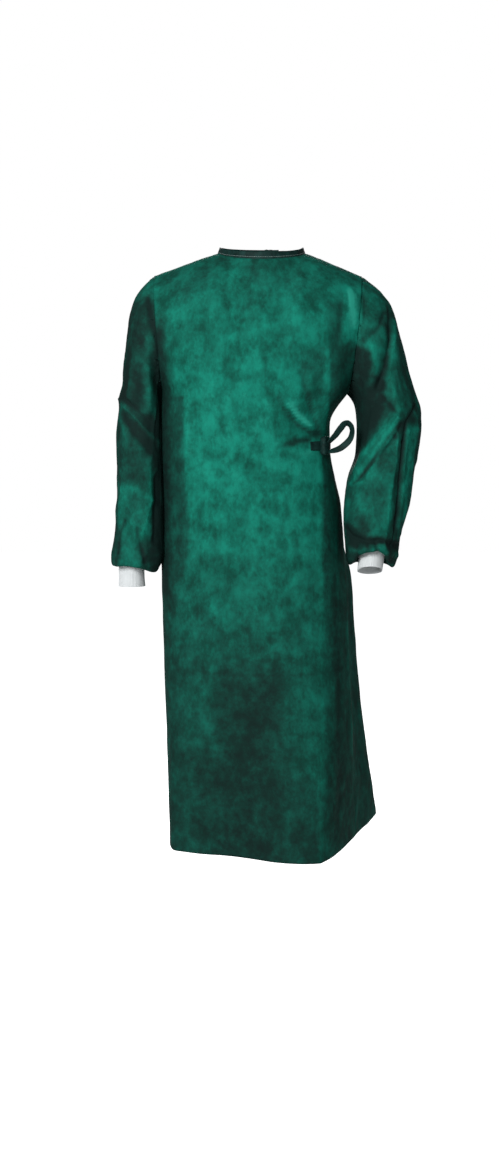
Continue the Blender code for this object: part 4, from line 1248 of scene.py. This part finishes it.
def make_knot(name, wraps, tilt):
    """A pulled knot: the CAD lump rounded, with the turns of the tape wound over it."""
    bm = bmesh.new()
    bm.from_mesh(frame["nodes"][name].data)
    bmesh.ops.remove_doubles(bm, verts=bm.verts[:], dist=MERGE_DISTANCE)
    piece = new_piece(name + "_wound", bm, name, finish_of("tie_tape_looks", tape_looks))
    refine(piece, levels=2)
    places, out = points_of(piece)
    middle = places.mean(axis=0)
    size = np.ptp(places[:, 2])
    along = ((places[:, 2] - middle[2]) + (places[:, 0] - middle[0]) * tilt) / size
    turns = np.abs(np.sin(along * math.pi * wraps)) ** WRAP_ROUND - WRAP_MIDDLE
    lift = turns * WRAP_HEIGHT + swells(places, *KNOT_SWELL) * KNOT_SWELL_HEIGHT
    move_points(piece, places + out * lift[:, None])
    store_map(piece.data, places[corner_points(piece.data)][:, (0, 2)])


class GOWN_OT_neck_ties(Operator):
    """Makes the knot and the hanging ends of the neck ties."""

    bl_idname = "gown.neck_ties"
    bl_label = "Neck ties"

    def execute(self, context):
        make_knot("neck_tie_knot", wraps=2, tilt=0.5)
        for name in ("neck_tie_end_right", "neck_tie_end_left"):
            make_tape(name, SHEETS[name], crinkle=0.0006)
        return {"FINISHED"}


class GOWN_OT_waist_tie(Operator):
    """Makes the waist tape, its knot and its loop."""

    bl_idname = "gown.waist_tie"
    bl_label = "Waist tie"

    def execute(self, context):
        make_knot("waist_tie_knot", wraps=3, tilt=0.6)
        for name in ("waist_tie_front", "waist_tie_back", "waist_tie_loop"):
            make_tape(name, SHEETS[name], crinkle=0.0005)
        return {"FINISHED"}


def stand(made, place, aim):
    """Puts a camera or a light in its place and turns it to a point."""
    made.location = place
    made.rotation_euler = (Vector(aim) - Vector(place)).to_track_quat("-Z", "Y").to_euler()


def add_light(name, place, aim, size, power):
    light = bpy.data.lights.new(name, "AREA")
    light.shape = "DISK"
    light.size = size
    light.energy = power
    lamp = new_object(name, light)
    stand(lamp, place, aim)
    lamp.visible_camera = False


class GOWN_OT_stage(Operator):
    """Sets the camera, the pale floor and the soft lights."""

    bl_idname = "gown.stage"
    bl_label = "Camera, floor and lights"

    def execute(self, context):
        stage = context.scene.gown_stage
        view = bpy.data.cameras.new("camera")
        view.sensor_fit = "VERTICAL"
        view.sensor_height = 36.0
        view.lens = stage.lens
        camera = new_object("camera", view)
        stand(camera, stage.camera, stage.aim)
        context.scene.camera = camera
        self.lay_floor(stage)
        add_light("key", (-0.95, -2.45, 0.55), (0.0, 0.0, -0.40), size=1.1, power=stage.key)
        add_light("behind", (0.1, 2.6, 0.60), (0.0, 0.0, -0.5), size=1.4, power=stage.fill)
        self.light_room(context, stage)
        context.scene.view_settings.view_transform = "Standard"
        return {"FINISHED"}

    def lay_floor(self, stage):
        bm = bmesh.new()
        bmesh.ops.create_grid(bm, x_segments=2, y_segments=2, size=9.0)
        bmesh.ops.translate(bm, vec=(0, 0, stage.floor), verts=bm.verts[:])
        object_of("floor", bm, finish_of("pale_floor", floor_looks))

    def light_room(self, context, stage):
        room = bpy.data.worlds.new("room")
        room.use_nodes = True
        tree = room.node_tree
        soft = tree.nodes["Background"]
        soft.inputs["Color"].default_value = (0.95, 0.98, 1.0, 1.0)
        soft.inputs["Strength"].default_value = stage.sky
        white = add(tree, "ShaderNodeBackground", {"Color": (1.0, 1.0, 1.0, 1.0), "Strength": 1.0})
        seen = add(tree, "ShaderNodeLightPath").outputs["Is Camera Ray"]
        mixed = add(tree, "ShaderNodeMixShader", {0: seen, 1: soft.outputs[0], 2: white.outputs[0]})
        tree.links.new(mixed.outputs[0], tree.nodes["World Output"].inputs["Surface"])
        context.scene.world = room


class GOWN_PT_pieces(Panel):
    """Buttons that make the parts of the gown, and boxes of its settings."""

    bl_idname = "GOWN_PT_pieces"
    bl_label = "Isolation gown"
    bl_space_type = "VIEW_3D"
    bl_region_type = "UI"
    bl_category = "Gown"

    def draw(self, context):
        for made in OPERATORS:
            self.layout.operator(made.bl_idname)
        for settings in (context.scene.gown_cloth, context.scene.gown_trim, context.scene.gown_stage):
            box = self.layout.box()
            for name in settings.__annotations__:
                box.prop(settings, name)


OPERATORS = (GOWN_OT_stage, GOWN_OT_body_panels, GOWN_OT_sleeves, GOWN_OT_cuffs, GOWN_OT_neck_binding,
             GOWN_OT_neck_ties, GOWN_OT_waist_tie)
CLASSES = (GownClothSettings, GownTrimSettings, GownStageSettings, *OPERATORS, GOWN_PT_pieces)


def register():
    for made in CLASSES:
        bpy.utils.register_class(made)
    bpy.types.Scene.gown_cloth = PointerProperty(type=GownClothSettings)
    bpy.types.Scene.gown_trim = PointerProperty(type=GownTrimSettings)
    bpy.types.Scene.gown_stage = PointerProperty(type=GownStageSettings)


def unregister():
    del bpy.types.Scene.gown_stage
    del bpy.types.Scene.gown_trim
    del bpy.types.Scene.gown_cloth
    for made in reversed(CLASSES):
        bpy.utils.unregister_class(made)


def main():
    """Makes every piece."""
    register()
    bpy.ops.gown.stage()
    bpy.ops.gown.body_panels()
    bpy.ops.gown.sleeves()
    bpy.ops.gown.cuffs()
    bpy.ops.gown.neck_binding()
    bpy.ops.gown.neck_ties()
    bpy.ops.gown.waist_tie()


if __name__ == "__main__":
    main()
